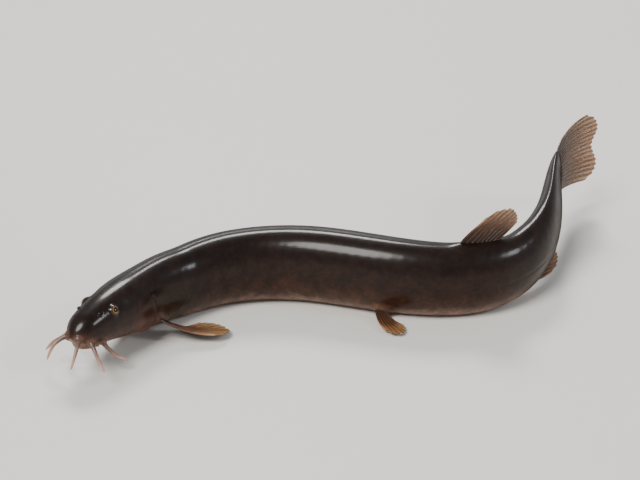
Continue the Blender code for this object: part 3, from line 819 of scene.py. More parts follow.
def wet_skin():
    """Living fish skin under slime.

    The slime is a thin clear coat, so it gives sharp, weak lights over the broad sheen of the skin itself.
    """
    look = bpy.context.scene.loach_skin
    material, tree, shader = new_material("wet_fish_skin")
    straight = add_node(tree, "ShaderNodeAttribute", attribute_name="straight").outputs["Vector"]
    upward = add_node(tree, "ShaderNodeAttribute", attribute_name="upward").outputs["Fac"]
    marks_and_shade = add_node(tree, "ShaderNodeAttribute", attribute_name="marks_and_shade").outputs["Vector"]
    marks_and_shade = add_node(tree, "ShaderNodeSeparateXYZ", {0: marks_and_shade}).outputs
    wrap = add_node(tree, "ShaderNodeAttribute", attribute_name="wrap").outputs["Vector"]

    # Clouds of pigment about 2.5 mm across blur the edge between flank and belly, and small ones shade it
    cloud = add_node(tree, "ShaderNodeTexNoise", {"Vector": straight, "Scale": 1 / (2.5 * MM), "Detail": 4.0})
    fine = add_node(tree, "ShaderNodeTexNoise", {"Vector": straight, "Scale": 1 / (0.45 * MM), "Detail": 3.0})
    # Pigment cells are drawn as dots 0.16 mm apart, which is coarser than life so that they show
    cells = add_node(tree, "ShaderNodeTexVoronoi", {"Vector": straight, "Scale": 1 / (0.16 * MM)})
    stretch = {"Value": cells, "From Min": 0.22, "From Max": 0.42, "To Min": 0.45, "To Max": 0.0}
    spots = add_node(tree, "ShaderNodeMapRange", stretch)
    # Lips and the roots of barbels and fins are paler, the gills' blood shows through their cover, and slits,
    # pits and the eye's edge get painted shade
    layers = (
        (marks_and_shade["X"], look.lip_colour),
        (marks_and_shade["Y"], look.gill_colour),
        (spots, look.back_colour),
        (marks_and_shade["Z"], look.painted_shade_colour),
    )
    colour = pigment(tree, upward, cloud, fine, straight)
    for share, over in layers:
        mix = {0: share, MIX_A: colour, MIX_B: (*over, 1)}
        colour = add_node(tree, "ShaderNodeMix", mix, data_type="RGBA")

    # Minute scales set in the skin of the trunk, drawn a little coarser than life so that they show
    gap = gaps_between_scales(tree, wrap)
    # Painted shade in the dips between the scales, with the scales themselves a touch lighter
    rim = add_node(tree, "ShaderNodeMapRange", {"Value": gap, "To Min": 1.03, "To Max": 0.86})
    grain = add_node(tree, "ShaderNodeBump", {"Height": fine, "Distance": 0.03 * MM, "Strength": 0.5})
    relief = {"Height": gap, "Distance": 0.003 * MM, "Strength": 0.7, "Normal": grain}
    # The slime fills most of that, so its own lights are only a little broken
    film = {"Height": gap, "Distance": 0.003 * MM, "Strength": 0.35}
    finish = {
        "Base Color": add_node(tree, "ShaderNodeMix", {0: 1.0, MIX_A: colour, MIX_B: rim}, **MULTIPLIED),
        "Normal": add_node(tree, "ShaderNodeBump", relief, invert=True),
        "Coat Normal": add_node(tree, "ShaderNodeBump", film, invert=True),
        "Coat Roughness": 0.16,
        "Coat IOR": 1.34,
        "IOR": 1.40,
        "Specular IOR Level": 0.10,
        "Subsurface Weight": 0.10,
        "Subsurface Radius": (1.0, 0.38, 0.22),
        "Subsurface Scale": 0.35 * MM,
    }
    set_inputs(tree, shader, finish)
    stretch = {"Value": cloud, "From Min": 0.3, "From Max": 0.7, "To Min": 0.30, "To Max": 0.44}
    dull_at_a_slant(tree, shader, look.slime, add_node(tree, "ShaderNodeMapRange", stretch))
    return material


def barbel_skin():
    """Soft, moist skin with little pigment, paler towards the tip, where more light passes."""
    look = bpy.context.scene.loach_barbels
    material, tree, shader = new_material("soft_barbel_skin")
    place = add_node(tree, "ShaderNodeTexCoord").outputs["Object"]
    cloud = {"Vector": place, "Scale": 1 / (0.5 * MM), "Detail": 3.0}
    stops = ((0.15, look.root_colour), (0.55, look.middle_colour), (1.0, look.tip_colour))
    # Taste buds, about 0.1 mm apart
    buds = add_node(tree, "ShaderNodeTexVoronoi", {"Vector": place, "Scale": 1 / (0.10 * MM)})
    buds = {"Height": buds, "Distance": 0.012 * MM, "Strength": 0.5}
    finish = {
        "Base Color": toned_outwards(tree, cloud, 0.35, stops),
        "Normal": add_node(tree, "ShaderNodeBump", buds, invert=True),
        "Coat Weight": 0.5,
        "Coat Roughness": 0.20,
        "Coat IOR": 1.34,
        "Roughness": 0.45,
        "Subsurface Weight": 0.30,
        "Subsurface Radius": (1.0, 0.45, 0.30),
        "Subsurface Scale": 0.5 * MM,
    }
    set_inputs(tree, shader, finish)
    return material


def fin_web():
    """A fin's web: clear skin two cells thick with amber pigment, denser at the root and along the rays."""
    look = bpy.context.scene.loach_fins
    material, tree, shader = new_material("fin_web")
    spread = add_node(tree, "ShaderNodeAttribute", attribute_name="spread").outputs["Vector"]
    spread = add_node(tree, "ShaderNodeSeparateXYZ", {0: spread}).outputs
    place = add_node(tree, "ShaderNodeTexCoord").outputs["Object"]
    # Pigment cells, drawn 0.14 mm apart, which is coarser than life so that they show
    cells = add_node(tree, "ShaderNodeTexVoronoi", {"Vector": place, "Scale": 1 / (0.14 * MM)})
    stretch = {"Value": cells, "From Min": 0.18, "From Max": 0.38, "To Min": 1.0, "To Max": 0.0}
    spots = add_node(tree, "ShaderNodeMapRange", stretch)
    # Y is the share of the way out, and Z how near a ray is
    stretch = {"Value": spread["Y"], "From Max": 0.95, "To Min": 1.18, "To Max": 0.0}
    dark = add_node(tree, "ShaderNodeMapRange", stretch)
    dark = add_node(tree, "ShaderNodeMath", {0: spread["Z"], 1: 0.35, 2: dark}, operation="MULTIPLY_ADD")
    dark = {0: spots, 1: 0.30, 2: dark}
    dark = add_node(tree, "ShaderNodeMath", dark, operation="MULTIPLY_ADD", use_clamp=True)
    stops = ((0.0, look.web_colour), (0.42, look.middle_colour), (0.88, look.root_colour))
    solid = {"Value": dark, "To Min": look.web_solidity, "To Max": 1.0}
    wrinkles = {"Vector": place, "Scale": 1 / (0.25 * MM), "Detail": 2.0}
    wrinkles = add_node(tree, "ShaderNodeTexNoise", wrinkles)
    wrinkles = {"Height": wrinkles, "Distance": 0.02 * MM, "Strength": 0.5}
    finish = {
        "Base Color": add_node(tree, "ShaderNodeValToRGB", {"Fac": dark}, stops),
        "Alpha": add_node(tree, "ShaderNodeMapRange", solid),
        "Normal": add_node(tree, "ShaderNodeBump", wrinkles),
        "Coat Roughness": 0.15,
        "IOR": 1.38,
        "Specular IOR Level": 0.18,
        "Subsurface Weight": 0.25,
        "Subsurface Radius": (1.0, 0.5, 0.3),
        "Subsurface Scale": 0.4 * MM,
    }
    set_inputs(tree, shader, finish)
    dull_at_a_slant(tree, shader, 0.35, 0.42)
    return material


def fin_ray():
    """A fin ray: thin bone in short joints under skin, dark at the root and amber where it is thin."""
    look = bpy.context.scene.loach_fins
    material, tree, shader = new_material("fin_ray_bone")
    place = add_node(tree, "ShaderNodeTexCoord").outputs["Object"]
    cloud = {"Vector": place, "Scale": 1 / (0.35 * MM), "Detail": 2.0}
    stops = ((0.24, look.root_colour), (0.66, look.ray_colour), (1.0, look.tip_colour))
    finish = {
        "Base Color": toned_outwards(tree, cloud, 0.3, stops),
        "Coat Roughness": 0.12,
        "Specular IOR Level": 0.25,
        "Subsurface Weight": 0.2,
        "Subsurface Radius": (1.0, 0.5, 0.3),
        "Subsurface Scale": 0.2 * MM,
    }
    set_inputs(tree, shader, finish)
    dull_at_a_slant(tree, shader, 0.45, 0.36)
    return material


def iris_and_pupil():
    """A fish's eye: black pupil, thin bronze ring with fine threads, and dark iris under a clear cornea.

    The cornea is a smooth clear coat, which gives the one sharp point of light that makes an eye look alive.
    """
    look = bpy.context.scene.loach_eyes
    material, tree, shader = new_material("iris_under_clear_cornea")
    turn = add_node(tree, "ShaderNodeAttribute", attribute_name="turn").outputs["Vector"]
    turn = add_node(tree, "ShaderNodeSeparateXYZ", {0: turn}).outputs
    # X is the distance from the eye's axis as a share of its radius; Y and Z go round it
    round_it = add_node(tree, "ShaderNodeCombineXYZ", {0: 0.0, 1: turn["Y"], 2: turn["Z"]})
    threads = add_node(tree, "ShaderNodeTexNoise", {"Vector": round_it, "Scale": 9.0, "Detail": 2.0})
    wobble = add_node(tree, "ShaderNodeMath", {0: threads, 1: 0.10, 2: turn["X"]}, operation="MULTIPLY_ADD")
    colours = (
        (0.44, look.pupil_colour),
        (0.47, look.ring_colour),
        (0.50, look.ring_colour),
        (0.57, look.iris_colour),
        (0.80, look.rim_colour),
    )
    gleam = ((0.44, (0, 0, 0)), (0.47, (0.7, 0.7, 0.7)), (0.56, (0.5, 0.5, 0.5)), (0.74, (0, 0, 0)))
    finish = {
        "Base Color": add_node(tree, "ShaderNodeValToRGB", {"Fac": wobble}, colours),
        "Metallic": add_node(tree, "ShaderNodeValToRGB", {"Fac": wobble}, gleam),
        "Roughness": 0.34,
        "Specular IOR Level": 0.1,
        "Coat Weight": 1.0,
        "Coat Roughness": 0.03,
        "Coat IOR": 1.38,
    }
    set_inputs(tree, shader, finish)
    return material


def studio_floor():
    """Matt, pale paint, which takes soft shadows and mirrors nothing."""
    look = bpy.context.scene.loach_stage
    material, tree, shader = new_material("matt_pale_paint")
    place = add_node(tree, "ShaderNodeTexCoord").outputs["Object"]
    cloud = add_node(tree, "ShaderNodeTexNoise", {"Vector": place, "Scale": 14.0, "Detail": 4.0})
    stops = ((0.3, look.floor_colour), (0.7, tuple(0.97 * c for c in look.floor_colour)))
    colour = add_node(tree, "ShaderNodeValToRGB", {"Fac": cloud}, stops)
    set_inputs(tree, shader, {"Base Color": colour, "Roughness": 0.55})
    return material


# The skin


def skin_places():
    """The places along of the skin's rings, close together on the snout and the head."""
    turns = np.linspace(0, math.pi / 2, SNOUT_RINGS + 1)[1:]
    places = list(SNOUT_ROUNDING * (1 - np.cos(turns)))
    while places[-1] < SKIN_END - END_STRETCH:
        places.append(places[-1] + float(curve_through(RING_SPACING, places[-1] / MM)) * MM)
    wedge = np.linspace(0, math.pi / 2, END_RINGS + 2)[1:-1]
    places += list(places[-1] + (SKIN_END - places[-1]) * np.sin(wedge))
    return np.array(places)


def skin_angles():
    """The angles of the skin's lines down the body, closest together at the eyes' and the mouth's height."""
    angle = np.linspace(-math.pi / 2, 3 * math.pi / 2, 2001)
    high = side_height(angle)
    density = np.ones(len(high))
    for more, up, width in CLOSER_LINES:
        density += more * bell(high - up, width)
    run = np.concatenate([[0], np.cumsum((density[1:] + density[:-1]) / 2)])
    return np.interp(np.linspace(0, run[-1], SKIN_SIDES, endpoint=False), run, angle)


def lead_rings(ring, angle):
    """Leads the rings along the gill opening's edge and, at the tail, along the flesh's scalloped end."""
    reach_back = np.cos(angle + np.copysign(GILL_COVER_LOW, np.cos(angle))) ** 2
    along = ring + GILL_COVER_BULGE * reach_back * plateau(ring, *GILL_COVER_STRETCH)
    _, back, _, _ = section(np.float64(STANDARD_LENGTH))
    across_fin = (1 - across_and_up(np.float64(STANDARD_LENGTH), angle)[1] / (TAIL_FIN_ROOT * back)) / 2
    between_rays = 0.5 - 0.5 * np.cos(2 * math.pi * across_fin * (TAIL_FIN_RAYS - 1))
    along += TAIL_BEND * (0.5 - np.sin(angle) ** 2) * ramp(ring, TAIL_BEND_START, SKIN_END)
    along -= SCALLOP_DEPTH * between_rays * ramp(ring, SCALLOP_START, SKIN_END)
    return along


class HeadSkin:
    """The head's skin while it is shaped: its points, how far each is raised, its pale marks and its painted
    shade.
    """

    def __init__(self, points, normals, along, angle, past_gill):
        self.points, self.normals, self.along, self.past_gill = points, normals, along, past_gill
        self.high = side_height(angle)
        self.raised, self.pale, self.flush, self.painted_shade = np.zeros((4, *along.shape))

    def distance_from(self, along, angle):
        """How far each point is from a place on the plain skin."""
        return np.linalg.norm(self.points - skin_point(np.float64(along), np.float64(angle)), axis=-1)

    def raise_to(self, form, fillet=FILLET):
        """Raises the skin to a form, with a fillet where they meet."""
        self.raised = (self.raised + form + np.sqrt((self.raised - form) ** 2 + fillet**2)) / 2

    def whiten(self, paleness):
        self.pale = np.maximum(self.pale, paleness)

    # Painted shade: darker colour where the skin sinks into slits, pits and the eye's edge
    def paint_shade(self, darkness):
        self.painted_shade = np.maximum(self.painted_shade, darkness)

    def open_up(self, distance, pit, dark, rim=(0, 0, 1), share=1):
        """Sinks a pit with a raised rim in the skin, with painted shade in the pit, fully or as far as a
        share at each point.
        """
        distance, (depth, reach), (darkness, spread), (height, radius, width) = distance / MM, pit, dark, rim
        self.raised += share * MM * (height * bell(distance - radius, width) - depth * bell(distance, reach))
        self.paint_shade(share * darkness * bell(distance, spread))


def shape_gills(skin):
    """Swells the cheek and the gill cover, and sinks the throat's folds and the gill opening."""
    for height, place, length, up, width in HEAD_SWELLINGS:
        skin.raised += height * MM * bell(skin.along - place * MM, length * MM) * bell(skin.high - up, width)
    strength, place, length, up, width = GILL_BLUSH
    skin.flush += strength * bell(skin.along - place * MM, length * MM) * bell(skin.high - up, width)
    throat = plateau(skin.along / MM, *THROAT)
    depth, width = THROAT_CLEFT_SIZE
    skin.raised -= depth * throat * bell(skin.high + math.pi / 2, width)
    depth, width = THROAT_FOLD_SIZE
    for fold in THROAT_FOLD_ANGLES:
        way = skin.high - fold - THROAT_FOLD_SWAY * np.sin(skin.along / THROAT_FOLD_WAVE)
        skin.raised -= depth * throat * bell(way, width)
    # The cover's edge stands proud and the slit behind it is deep, with painted shade in it
    opening = plateau(skin.high, *GILL_OPENING)
    on_cover = skin.past_gill < 0
    ahead, behind = np.minimum(skin.past_gill, 0), np.maximum(skin.past_gill, 0)
    (height, edge_width), (depth, slit_width) = GILL_EDGE, GILL_SLIT
    edge = height * bell(ahead, edge_width)
    slit = -depth * bell(behind - GILL_SLIT_STEP, slit_width)
    skin.raised += opening * np.where(on_cover, edge, slit)
    skin.painted_shade += opening * np.where(on_cover, 0, bell(behind, GILL_SLIT_SHADOW))
    strength, reach = GILL_EDGE_BLUSH
    skin.flush += strength * opening * np.where(on_cover, bell(ahead, reach), 0)


def shape_barbel_roots(skin):
    """Raises a fleshy cone round each barbel's root."""
    (height, radius), (paleness, reach) = BARBEL_CONE, BARBEL_CONE_PALENESS
    for _, place, low, _ in BARBELS:
        for _, angle in both_sides(math.radians(low)):
            distance = skin.distance_from(place * MM, angle)
            skin.raise_to(height * (1 - (distance / radius) ** 2), BARBEL_CONE_FILLET)
            skin.whiten(paleness * bell(distance, reach))


def shape_mouth(skin):
    """Raises the lips and the lower lip's lobes, with small folds across them, and sinks the slit between,
    with painted shade in it.
    """
    distance, share = nearest_on_path(skin.points, mouth_line(MOUTH_FRONT, MOUTH_HALF_WIDTH))
    full = LIP_RADIUS * (0.55 + 0.45 * np.sin(math.pi * share))
    folds = 1 + LIP_FOLD_DEPTH * np.cos(2 * math.pi * share * LIP_FOLDS)
    skin.raise_to(LIP_HEIGHT * full * folds * (1 - (distance / full) ** 2))
    skin.whiten(bell(distance, LIP_PALENESS))
    lobe = [(step, *row) for step, row in zip(np.linspace(0, 1, len(LOWER_LIP)), LOWER_LIP)]
    along, across = (curve_through(lobe, np.linspace(0, 1, 21), column) * MM for column in (1, 2))
    for sign in (1, -1):
        distance, share = nearest_on_path(skin.points, skin_point(along, under_head(along, sign * across)))
        full = LIP_RADIUS * curve_through(lobe, share, 3)
        height = curve_through(lobe, share, 4) * MM + LOBE_HEIGHT * full
        folds = 1 + LOBE_FOLD_DEPTH * np.cos(2 * math.pi * share * LOBE_FOLDS)
        skin.raise_to(height * folds * (1 - (distance / (LOBE_REACH * full)) ** 2))
        skin.whiten(bell(distance, LIP_PALENESS))
    slit = mouth_line(MOUTH_FRONT + MOUTH_SLIT_STEP, MOUTH_SLIT_SHARE * MOUTH_HALF_WIDTH)
    skin.open_up(nearest_on_path(skin.points, slit)[0], **MOUTH_SLIT)


def shape_openings(skin):
    """Opens the pores of the sense lines, the nostrils, and the slit that hides the spine under each eye,
    with painted shade in each.
    """
    for place, degrees in HEAD_PORES:
        for _, angle in both_sides(math.radians(degrees)):
            skin.open_up(skin.distance_from(place * MM, angle), **PORE)
    height, radius, width = (size * MM for size in NOSTRIL_TUBE)
    for _, angle in both_sides(NOSTRIL_ANGLE):
        # A short tube, and the open hind nostril just behind it
        distance = skin.distance_from(NOSTRIL_AT, angle)
        skin.raise_to(height * bell(distance - radius, width) - NOSTRIL_TUBE_SUNK, NOSTRIL_FILLET)
        skin.open_up(distance, **NOSTRIL)
        skin.open_up(skin.distance_from(NOSTRIL_AT + HIND_NOSTRIL_STEP, angle), **HIND_NOSTRIL)
    rim = (bpy.context.scene.loach_skin.fold_height / MM, *CHEEK_SLIT_RIM)
    for side, angle in both_sides(CHEEK_SLIT_ANGLE):
        droop = -CHEEK_SLIT_DROOP if side == "left" else CHEEK_SLIT_DROOP
        path = skin_point(np.linspace(*CHEEK_SLIT_ENDS, 12) * MM, angle + droop * np.linspace(-1, 1, 12) ** 2)
        distance, share = nearest_on_path(skin.points, path)
        skin.open_up(distance, rim=rim, share=np.sin(math.pi * share) ** 0.5, **CHEEK_SLIT)


def shape_eye_rims(skin):
    """Draws the skin up each eyeball to the edge of the clear patch, inside which it dips under the ball."""
    darkness, spread = EYE_PAINTED_SHADE
    for _, angle in both_sides(EYE_ANGLE):
        centre, way = eye_place(angle)
        away = skin.points - centre
        ahead = away @ way
        facing = ahead > 0
        past_edge = np.linalg.norm(away - ahead[..., None] * way, axis=-1) - EYE_OPENING
        inward = (away * skin.normals).sum(-1)
        reach = inward**2 - (away**2).sum(-1) + (EYE_RADIUS + EYE_SKIN) ** 2
        skin.raise_to(np.where((reach > 0) & facing, -inward + np.sqrt(np.maximum(reach, 0)), -MM))
        skin.raised += EYE_RIM_HEIGHT * bell(past_edge - EYE_RIM_WIDTH, EYE_RIM_WIDTH) * facing
        skin.raised -= UNDER_EYE_DEPTH * (1 - ramp(past_edge, *UNDER_EYE_EDGE)) * facing
        # Painted shade round the edge of the eye's opening
        skin.paint_shade(darkness * facing * bell(past_edge, spread))


def shape_fin_roots(points, raised, pale):
    """Raises the flesh round the roots of the fins."""
    for name, place, *_ in all_fins():
        if name == "tail_fin":
            continue
        width, height, paleness = MEDIAN_ROOT if name in MEDIAN_FINS else PAIRED_ROOT
        path = place(np.linspace(0, 1, 9), np.float64(ROOT_LINE))
        near = np.linalg.norm(points - path.mean(0), axis=-1) < ROOT_REACH
        share = bell(nearest_on_path(points[near], path)[0], width * MM)
        raised[near] += height * MM * share
        pale[near] = np.maximum(pale[near], paleness * share)


def muscle_relief(along, angle):
    """Shallow chevrons where the muscle blocks meet, the midline of the flank, and the back's furrow."""
    look = bpy.context.scene.loach_skin
    rise = np.abs(np.sin(angle))
    bend = np.where(rise < 0.5, 2 * rise, 2 - 1.6 * rise)
    phase = (along + look.muscle_bend * (bend - 0.5)) / look.muscle_block
    groove = (0.5 + 0.5 * np.cos(2 * math.pi * phase)) ** 5
    faint = np.sin(along / (3.7 * MM) + 2.6 * np.sin(angle)) * np.sin(along / (2.9 * MM) - 1.7)
    groove *= 0.65 + 0.35 * faint
    muscles = plateau(along / MM, *MUSCLES) * (1 - ramp(rise, 0.78, 0.95))
    trunk = plateau(along / MM, *TRUNK)
    uneven = np.sin(along / (2.3 * MM) + 2 * angle) * np.sin(3 * angle - along / (4.1 * MM))
    (midline_depth, midline_width), (furrow_depth, furrow_width) = MIDLINE_SIZE, FURROW_SIZE
    return (
        -look.muscle_depth * groove * muscles
        - midline_depth * trunk * bell(side_height(angle), midline_width)
        - furrow_depth * plateau(along / MM, *FURROW) * bell(angle - math.pi / 2, furrow_width)
        + UNEVENNESS * trunk * uneven
    )


def closed_tube(name, points, hubs, kept):
    """A mesh of rings of points, closed by a hub at each end, with rows of values kept at each point."""
    rings, sides, _ = points.shape
    ends = rings * sides
    faces = grid_faces(rings, sides, True)
    for i in range(sides):
        j = (i + 1) % sides
        faces += [(ends, i, j), (ends + 1, ends - sides + j, ends - sides + i)]
    attributes = {}
    for label, rows in kept.items():
        values = np.stack(rows, axis=-1)
        flat = values.reshape(-1, len(rows))
        attributes[label] = np.vstack([flat, values[0].mean(0), values[-1].mean(0)])
    return mesh_of(name, np.vstack([points.reshape(-1, 3), *hubs]), faces, attributes)


def build_skin():
    """The whole body's skin, with what its finish needs to know at each point."""
    places = skin_places()
    ring, angle = np.meshgrid(places, skin_angles(), indexing="ij")
    along = lead_rings(ring, angle)
    wide, rise = across_and_up(along, angle)
    wedge = np.clip((ring - WEDGE_START) / (SKIN_END - WEDGE_START), 0, 1)
    wide = wide * np.sqrt(np.maximum(1 - wedge**2, 0.0))
    rise = rise * (1 - WEDGE_DROP * wedge**2)
    point, _, left, up = spine_frame(along)
    points = point + left * wide[..., None] + up * rise[..., None]
    round_it = np.roll(points, -1, axis=1) - np.roll(points, 1, axis=1)
    normals = unit(np.cross(np.gradient(points, axis=0), round_it))

    raised = muscle_relief(along, angle)
    marks_and_shade = np.zeros((3, *along.shape))
    head = places < HEAD_RELIEF_END
    skin = HeadSkin(points[head], normals[head], along[head], angle[head], ring[head] - HEAD_LENGTH)
    for shape in (shape_gills, shape_barbel_roots, shape_mouth, shape_openings, shape_eye_rims):
        shape(skin)
    raised[head] += skin.raised * (1 - ramp(ring[head], *HEAD_RELIEF_FADE))
    marks_and_shade[:, head] = skin.pale, skin.flush, skin.painted_shade
    shape_fin_roots(points, raised, marks_and_shade[0])
    points = points + normals * raised[..., None]
    # Where it rests, the belly is pressed flat on the floor with rounded edges
    points[..., 2] = (points[..., 2] + np.sqrt(points[..., 2] ** 2 + FLOOR_EDGE**2)) / 2

    # How far round the body each point is from the middle of the back, and how scaly the skin is there
    steps = np.linalg.norm(np.diff(points, axis=1, append=points[:, :1]), axis=-1)
    girth = steps.sum(1, keepdims=True)
    arc = np.cumsum(steps, axis=1) - steps - girth / 2
    scaly = plateau(along / MM, *SCALES) * (1 - ramp(np.abs(arc) / girth, *BARE_BELLY))
    kept = {
        "straight": (along, wide, rise),
        "upward": (np.sin(angle),),
        "marks_and_shade": np.clip(marks_and_shade, 0, 1),
        "wrap": (along, arc, scaly),
    }
    hubs = (skin_point(np.float64(0), np.float64(0)), points[-1].mean(0))
    return closed_tube("loach_skin", points, hubs, kept)


# Eyes


def build_eye(side, angle):
    """An eyeball that keeps, at each point, how far it is from the eye's axis and which way."""
    centre, way = eye_place(angle)
    aside = unit(np.cross(way, (0, 0, 1)))
    above = np.cross(aside, way)
    turn = np.linspace(0, 2 * math.pi, EYE_SIDES, endpoint=False)
    open_angles = np.linspace(0, math.pi, EYE_RINGS)
    out, forward = np.sin(open_angles), np.cos(open_angles)
    ring = out[:, None, None] * (np.cos(turn)[:, None] * aside + np.sin(turn)[:, None] * above)
    points = centre + EYE_RADIUS * (ring + forward[:, None, None] * way)
    share = np.where(forward > 0, out, 1.0)[:, None]
    round_it = np.broadcast_arrays(share, np.cos(turn), np.sin(turn))
    attributes = {"turn": np.stack(round_it, axis=-1)}
    ball = mesh_of(f"eyeball_{side}", points, grid_faces(EYE_RINGS, EYE_SIDES, True), attributes)
    tidy_solid(ball)
    return ball


# Barbels and rays


def barbel_path(along, angle, reach, count=40):
    """Points down a barbel from inside its root, with the share of the way and the radius at each."""
    along, angle = np.float64(along), np.float64(angle)
    way_out = skin_normal(along, angle)
    root = outside(along, angle, SMALL_GAP)
    _, tailward, left, up = spine_frame(along)
    outward = left * math.copysign(1, math.cos(angle))
    tip = root + (tailward * reach[0] + outward * reach[1] + up * reach[2]) * MM
    knee = root + way_out * np.linalg.norm(tip - root) * BARBEL_SQUARENESS
    t = np.linspace(0, 1, count)
    points = root * ((1 - t) ** 2)[:, None] + knee * (2 * t * (1 - t))[:, None] + tip * (t**2)[:, None]
    sway = BARBEL_SWAY * np.sin(2.2 * math.pi * t) * t * (1 - t) * 4
    points = points + np.cross(way_out, tailward) * sway[:, None]
    sunk = root - way_out * (SMALL_GAP + BARBEL_ROOT_DEPTH)
    share = np.concatenate([[0], t])
    return np.vstack([sunk, points]), share, curve_through(BARBEL_RADII, share) * MM


def lines_mesh(name, paths):
    """A guide mesh of lines. Each path is its points, and a share and a radius at each."""
    edges, first = [], 0
    for path in paths:
        edges += [(first + i, first + i + 1) for i in range(len(path[0]) - 1)]
        first += len(path[0])
    points, share, thickness = (np.concatenate(parts) for parts in zip(*paths))
    return mesh_of(name, points, [], {"share": share, "thickness": thickness}, edges)


def tube_tree():
    """Geometry nodes that turn lines into tapered round tubes with grooves round them at even steps."""
    sizes = {
        "Groove Spacing": ("NodeSocketFloat", 0.2 * MM),
        "Groove Depth": ("NodeSocketFloat", 0.02),
        "Groove Sharpness": ("NodeSocketFloat", 2.0),
        "Sides": ("NodeSocketInt", 20),
        "Step": ("NodeSocketFloat", 0.04 * MM),
    }
    tree, given, result = new_geometry_tree("grooved_tubes_along_lines", sizes)
    lines = add_node(tree, "GeometryNodeMeshToCurve", {"Mesh": given["Geometry"]})
    close = add_node(tree, "GeometryNodeResampleCurve", {"Curve": lines}, mode="LENGTH")
    set_inputs(tree, close, {"Length": given["Step"]})
    run = add_node(tree, "GeometryNodeSplineParameter").outputs["Length"]
    turns = add_node(tree, "ShaderNodeMath", {0: run, 1: given["Groove Spacing"]}, operation="DIVIDE")
    angle = add_node(tree, "ShaderNodeMath", {0: turns, 1: 2 * math.pi}, operation="MULTIPLY")
    wave = add_node(tree, "ShaderNodeMath", {0: angle}, operation="COSINE")
    wave = add_node(tree, "ShaderNodeMapRange", {"Value": wave, "From Min": -1.0})
    groove = add_node(tree, "ShaderNodeMath", {0: wave, 1: given["Groove Sharpness"]}, operation="POWER")
    depth = add_node(tree, "ShaderNodeMath", {0: groove, 1: given["Groove Depth"]}, operation="MULTIPLY")
    share = add_node(tree, "ShaderNodeMath", {0: 1.0, 1: depth}, operation="SUBTRACT")
    thick = add_node(tree, "GeometryNodeInputNamedAttribute", {"Name": "thickness"}, data_type="FLOAT")
    radius = add_node(tree, "ShaderNodeMath", {0: thick, 1: share}, operation="MULTIPLY")
    circle = add_node(tree, "GeometryNodeCurvePrimitiveCircle", {"Resolution": given["Sides"], "Radius": 1.0})
    skin = {"Curve": close, "Profile Curve": circle, "Scale": radius, "Fill Caps": True}
    skin = add_node(tree, "GeometryNodeCurveToMesh", skin)
    whole = add_node(tree, "GeometryNodeRealizeInstances", {"Geometry": skin})
    smooth = add_node(tree, "GeometryNodeSetShadeSmooth", {"Geometry": whole})
    painted = {"Geometry": smooth, "Material": given["Material"]}
    painted = add_node(tree, "GeometryNodeSetMaterial", painted)
    set_inputs(tree, result, {0: painted})
    return tree


def ray_paths(place, rays, forks, unbranched):
    """Lines down a fin's rays, which fork on the way out. The first ones may be unbranched."""
    radius = bpy.context.scene.loach_fins.ray_radius
    pitch = 1 / (rays - 1)
    paths = []
    for ray in range(rays):
        u, forked = ray * pitch, ray >= unbranched
        fork = FORK_AT + FORK_WANDER * math.sin(2.1 * ray) if forked else RAY_END
        second_fork = fork + SECOND_FORK_AFTER if forks > 1 and forked else RAY_END
        v = np.linspace(FIN_ROOT_DEPTH, fork, 24)
        thickness = radius * (1 - RAY_TAPER * np.clip(v, 0, 1)) * (1 if forked else STOUT_RAY)
        paths.append((place(np.full_like(v, u), v), np.clip(v, 0, 1), thickness))
        # Each branch and then its twigs: the branch's side, the twig's side, and where it starts and ends
        parts = []
        for side in (-1, 1) if forked else ():
            parts.append((side, 0, fork, second_fork))
            if second_fork < RAY_END:
                parts += [(side, twig, second_fork, RAY_END) for twig in (-1, 1)]
        for side, twig, start, end in parts:
            count, thick, loss = TWIG if twig else BRANCH
            v = np.linspace(start - FORK_OVERLAP, end, count)
            spread = side * FORK_SPREAD * pitch * (np.clip(v - fork, 0, 1) / (1 - fork)) ** 0.8
            spread += twig * TWIG_SPREAD * pitch * np.clip(v - start, 0, 1) / (1 - start)
            thickness = radius * (thick - loss * (v - start) / (1 - start))
            paths.append((place(np.clip(u + spread, 0, 1), v), v, thickness))
    return paths


def build_web(name, place, rays):
    """A fin's web as a closed sheet, full between the rays and notched between their tips."""
    look = bpy.context.scene.loach_fins
    columns = (rays - 1) * WEB_COLUMNS + 1
    u, v = np.meshgrid(np.linspace(0, 1, columns), np.linspace(FIN_ROOT_DEPTH, 1, WEB_ROWS), indexing="ij")
    off_ray = np.sin(math.pi * u * (rays - 1)) ** 2
    root, tip = place(np.full(2, 0.5), np.array([0.0, 1.0]))
    notch = WEB_NOTCH / np.linalg.norm(tip - root)
    v = v * (1 - notch * off_ray * np.clip(v, 0, 1) ** 3)
    middle = place(u, v)
    normals = unit(np.cross(np.gradient(middle, axis=0), np.gradient(middle, axis=1)))
    wander = np.sin(7.3 * u * (rays - 1) + 1.0) + np.sin(3.1 * u * (rays - 1))
    middle = middle + normals * (look.web_sag * off_ray * wander * np.clip(v, 0, 1))[..., None]
    thick, loss = WEB_TAPER
    half = (look.web_thickness / 2 * (thick - loss * np.clip(v, 0, 1)))[..., None]
    count = columns * WEB_ROWS
    front_faces = grid_faces(columns, WEB_ROWS, False)
    back_faces = [(a + count, d + count, c + count, b + count) for a, b, c, d in front_faces]
    number = np.arange(count).reshape(columns, WEB_ROWS)
    border = [*number[:, 0], *number[-1, 1:], *number[-2::-1, -1], *number[0, -2:0:-1]]
    border = [int(corner) for corner in border]
    rim = [(a, a + count, b + count, b) for a, b in zip(border, border[1:] + border[:1])]
    spread = np.stack([u, np.clip(v, 0, 1), 1 - off_ray], axis=-1).reshape(-1, 3)
    points = np.stack([middle + normals * half, middle - normals * half])
    mesh = mesh_of(name, points, front_faces + back_faces + rim, {"spread": np.vstack([spread, spread])})
    tidy_solid(mesh)
    return mesh


# The stage


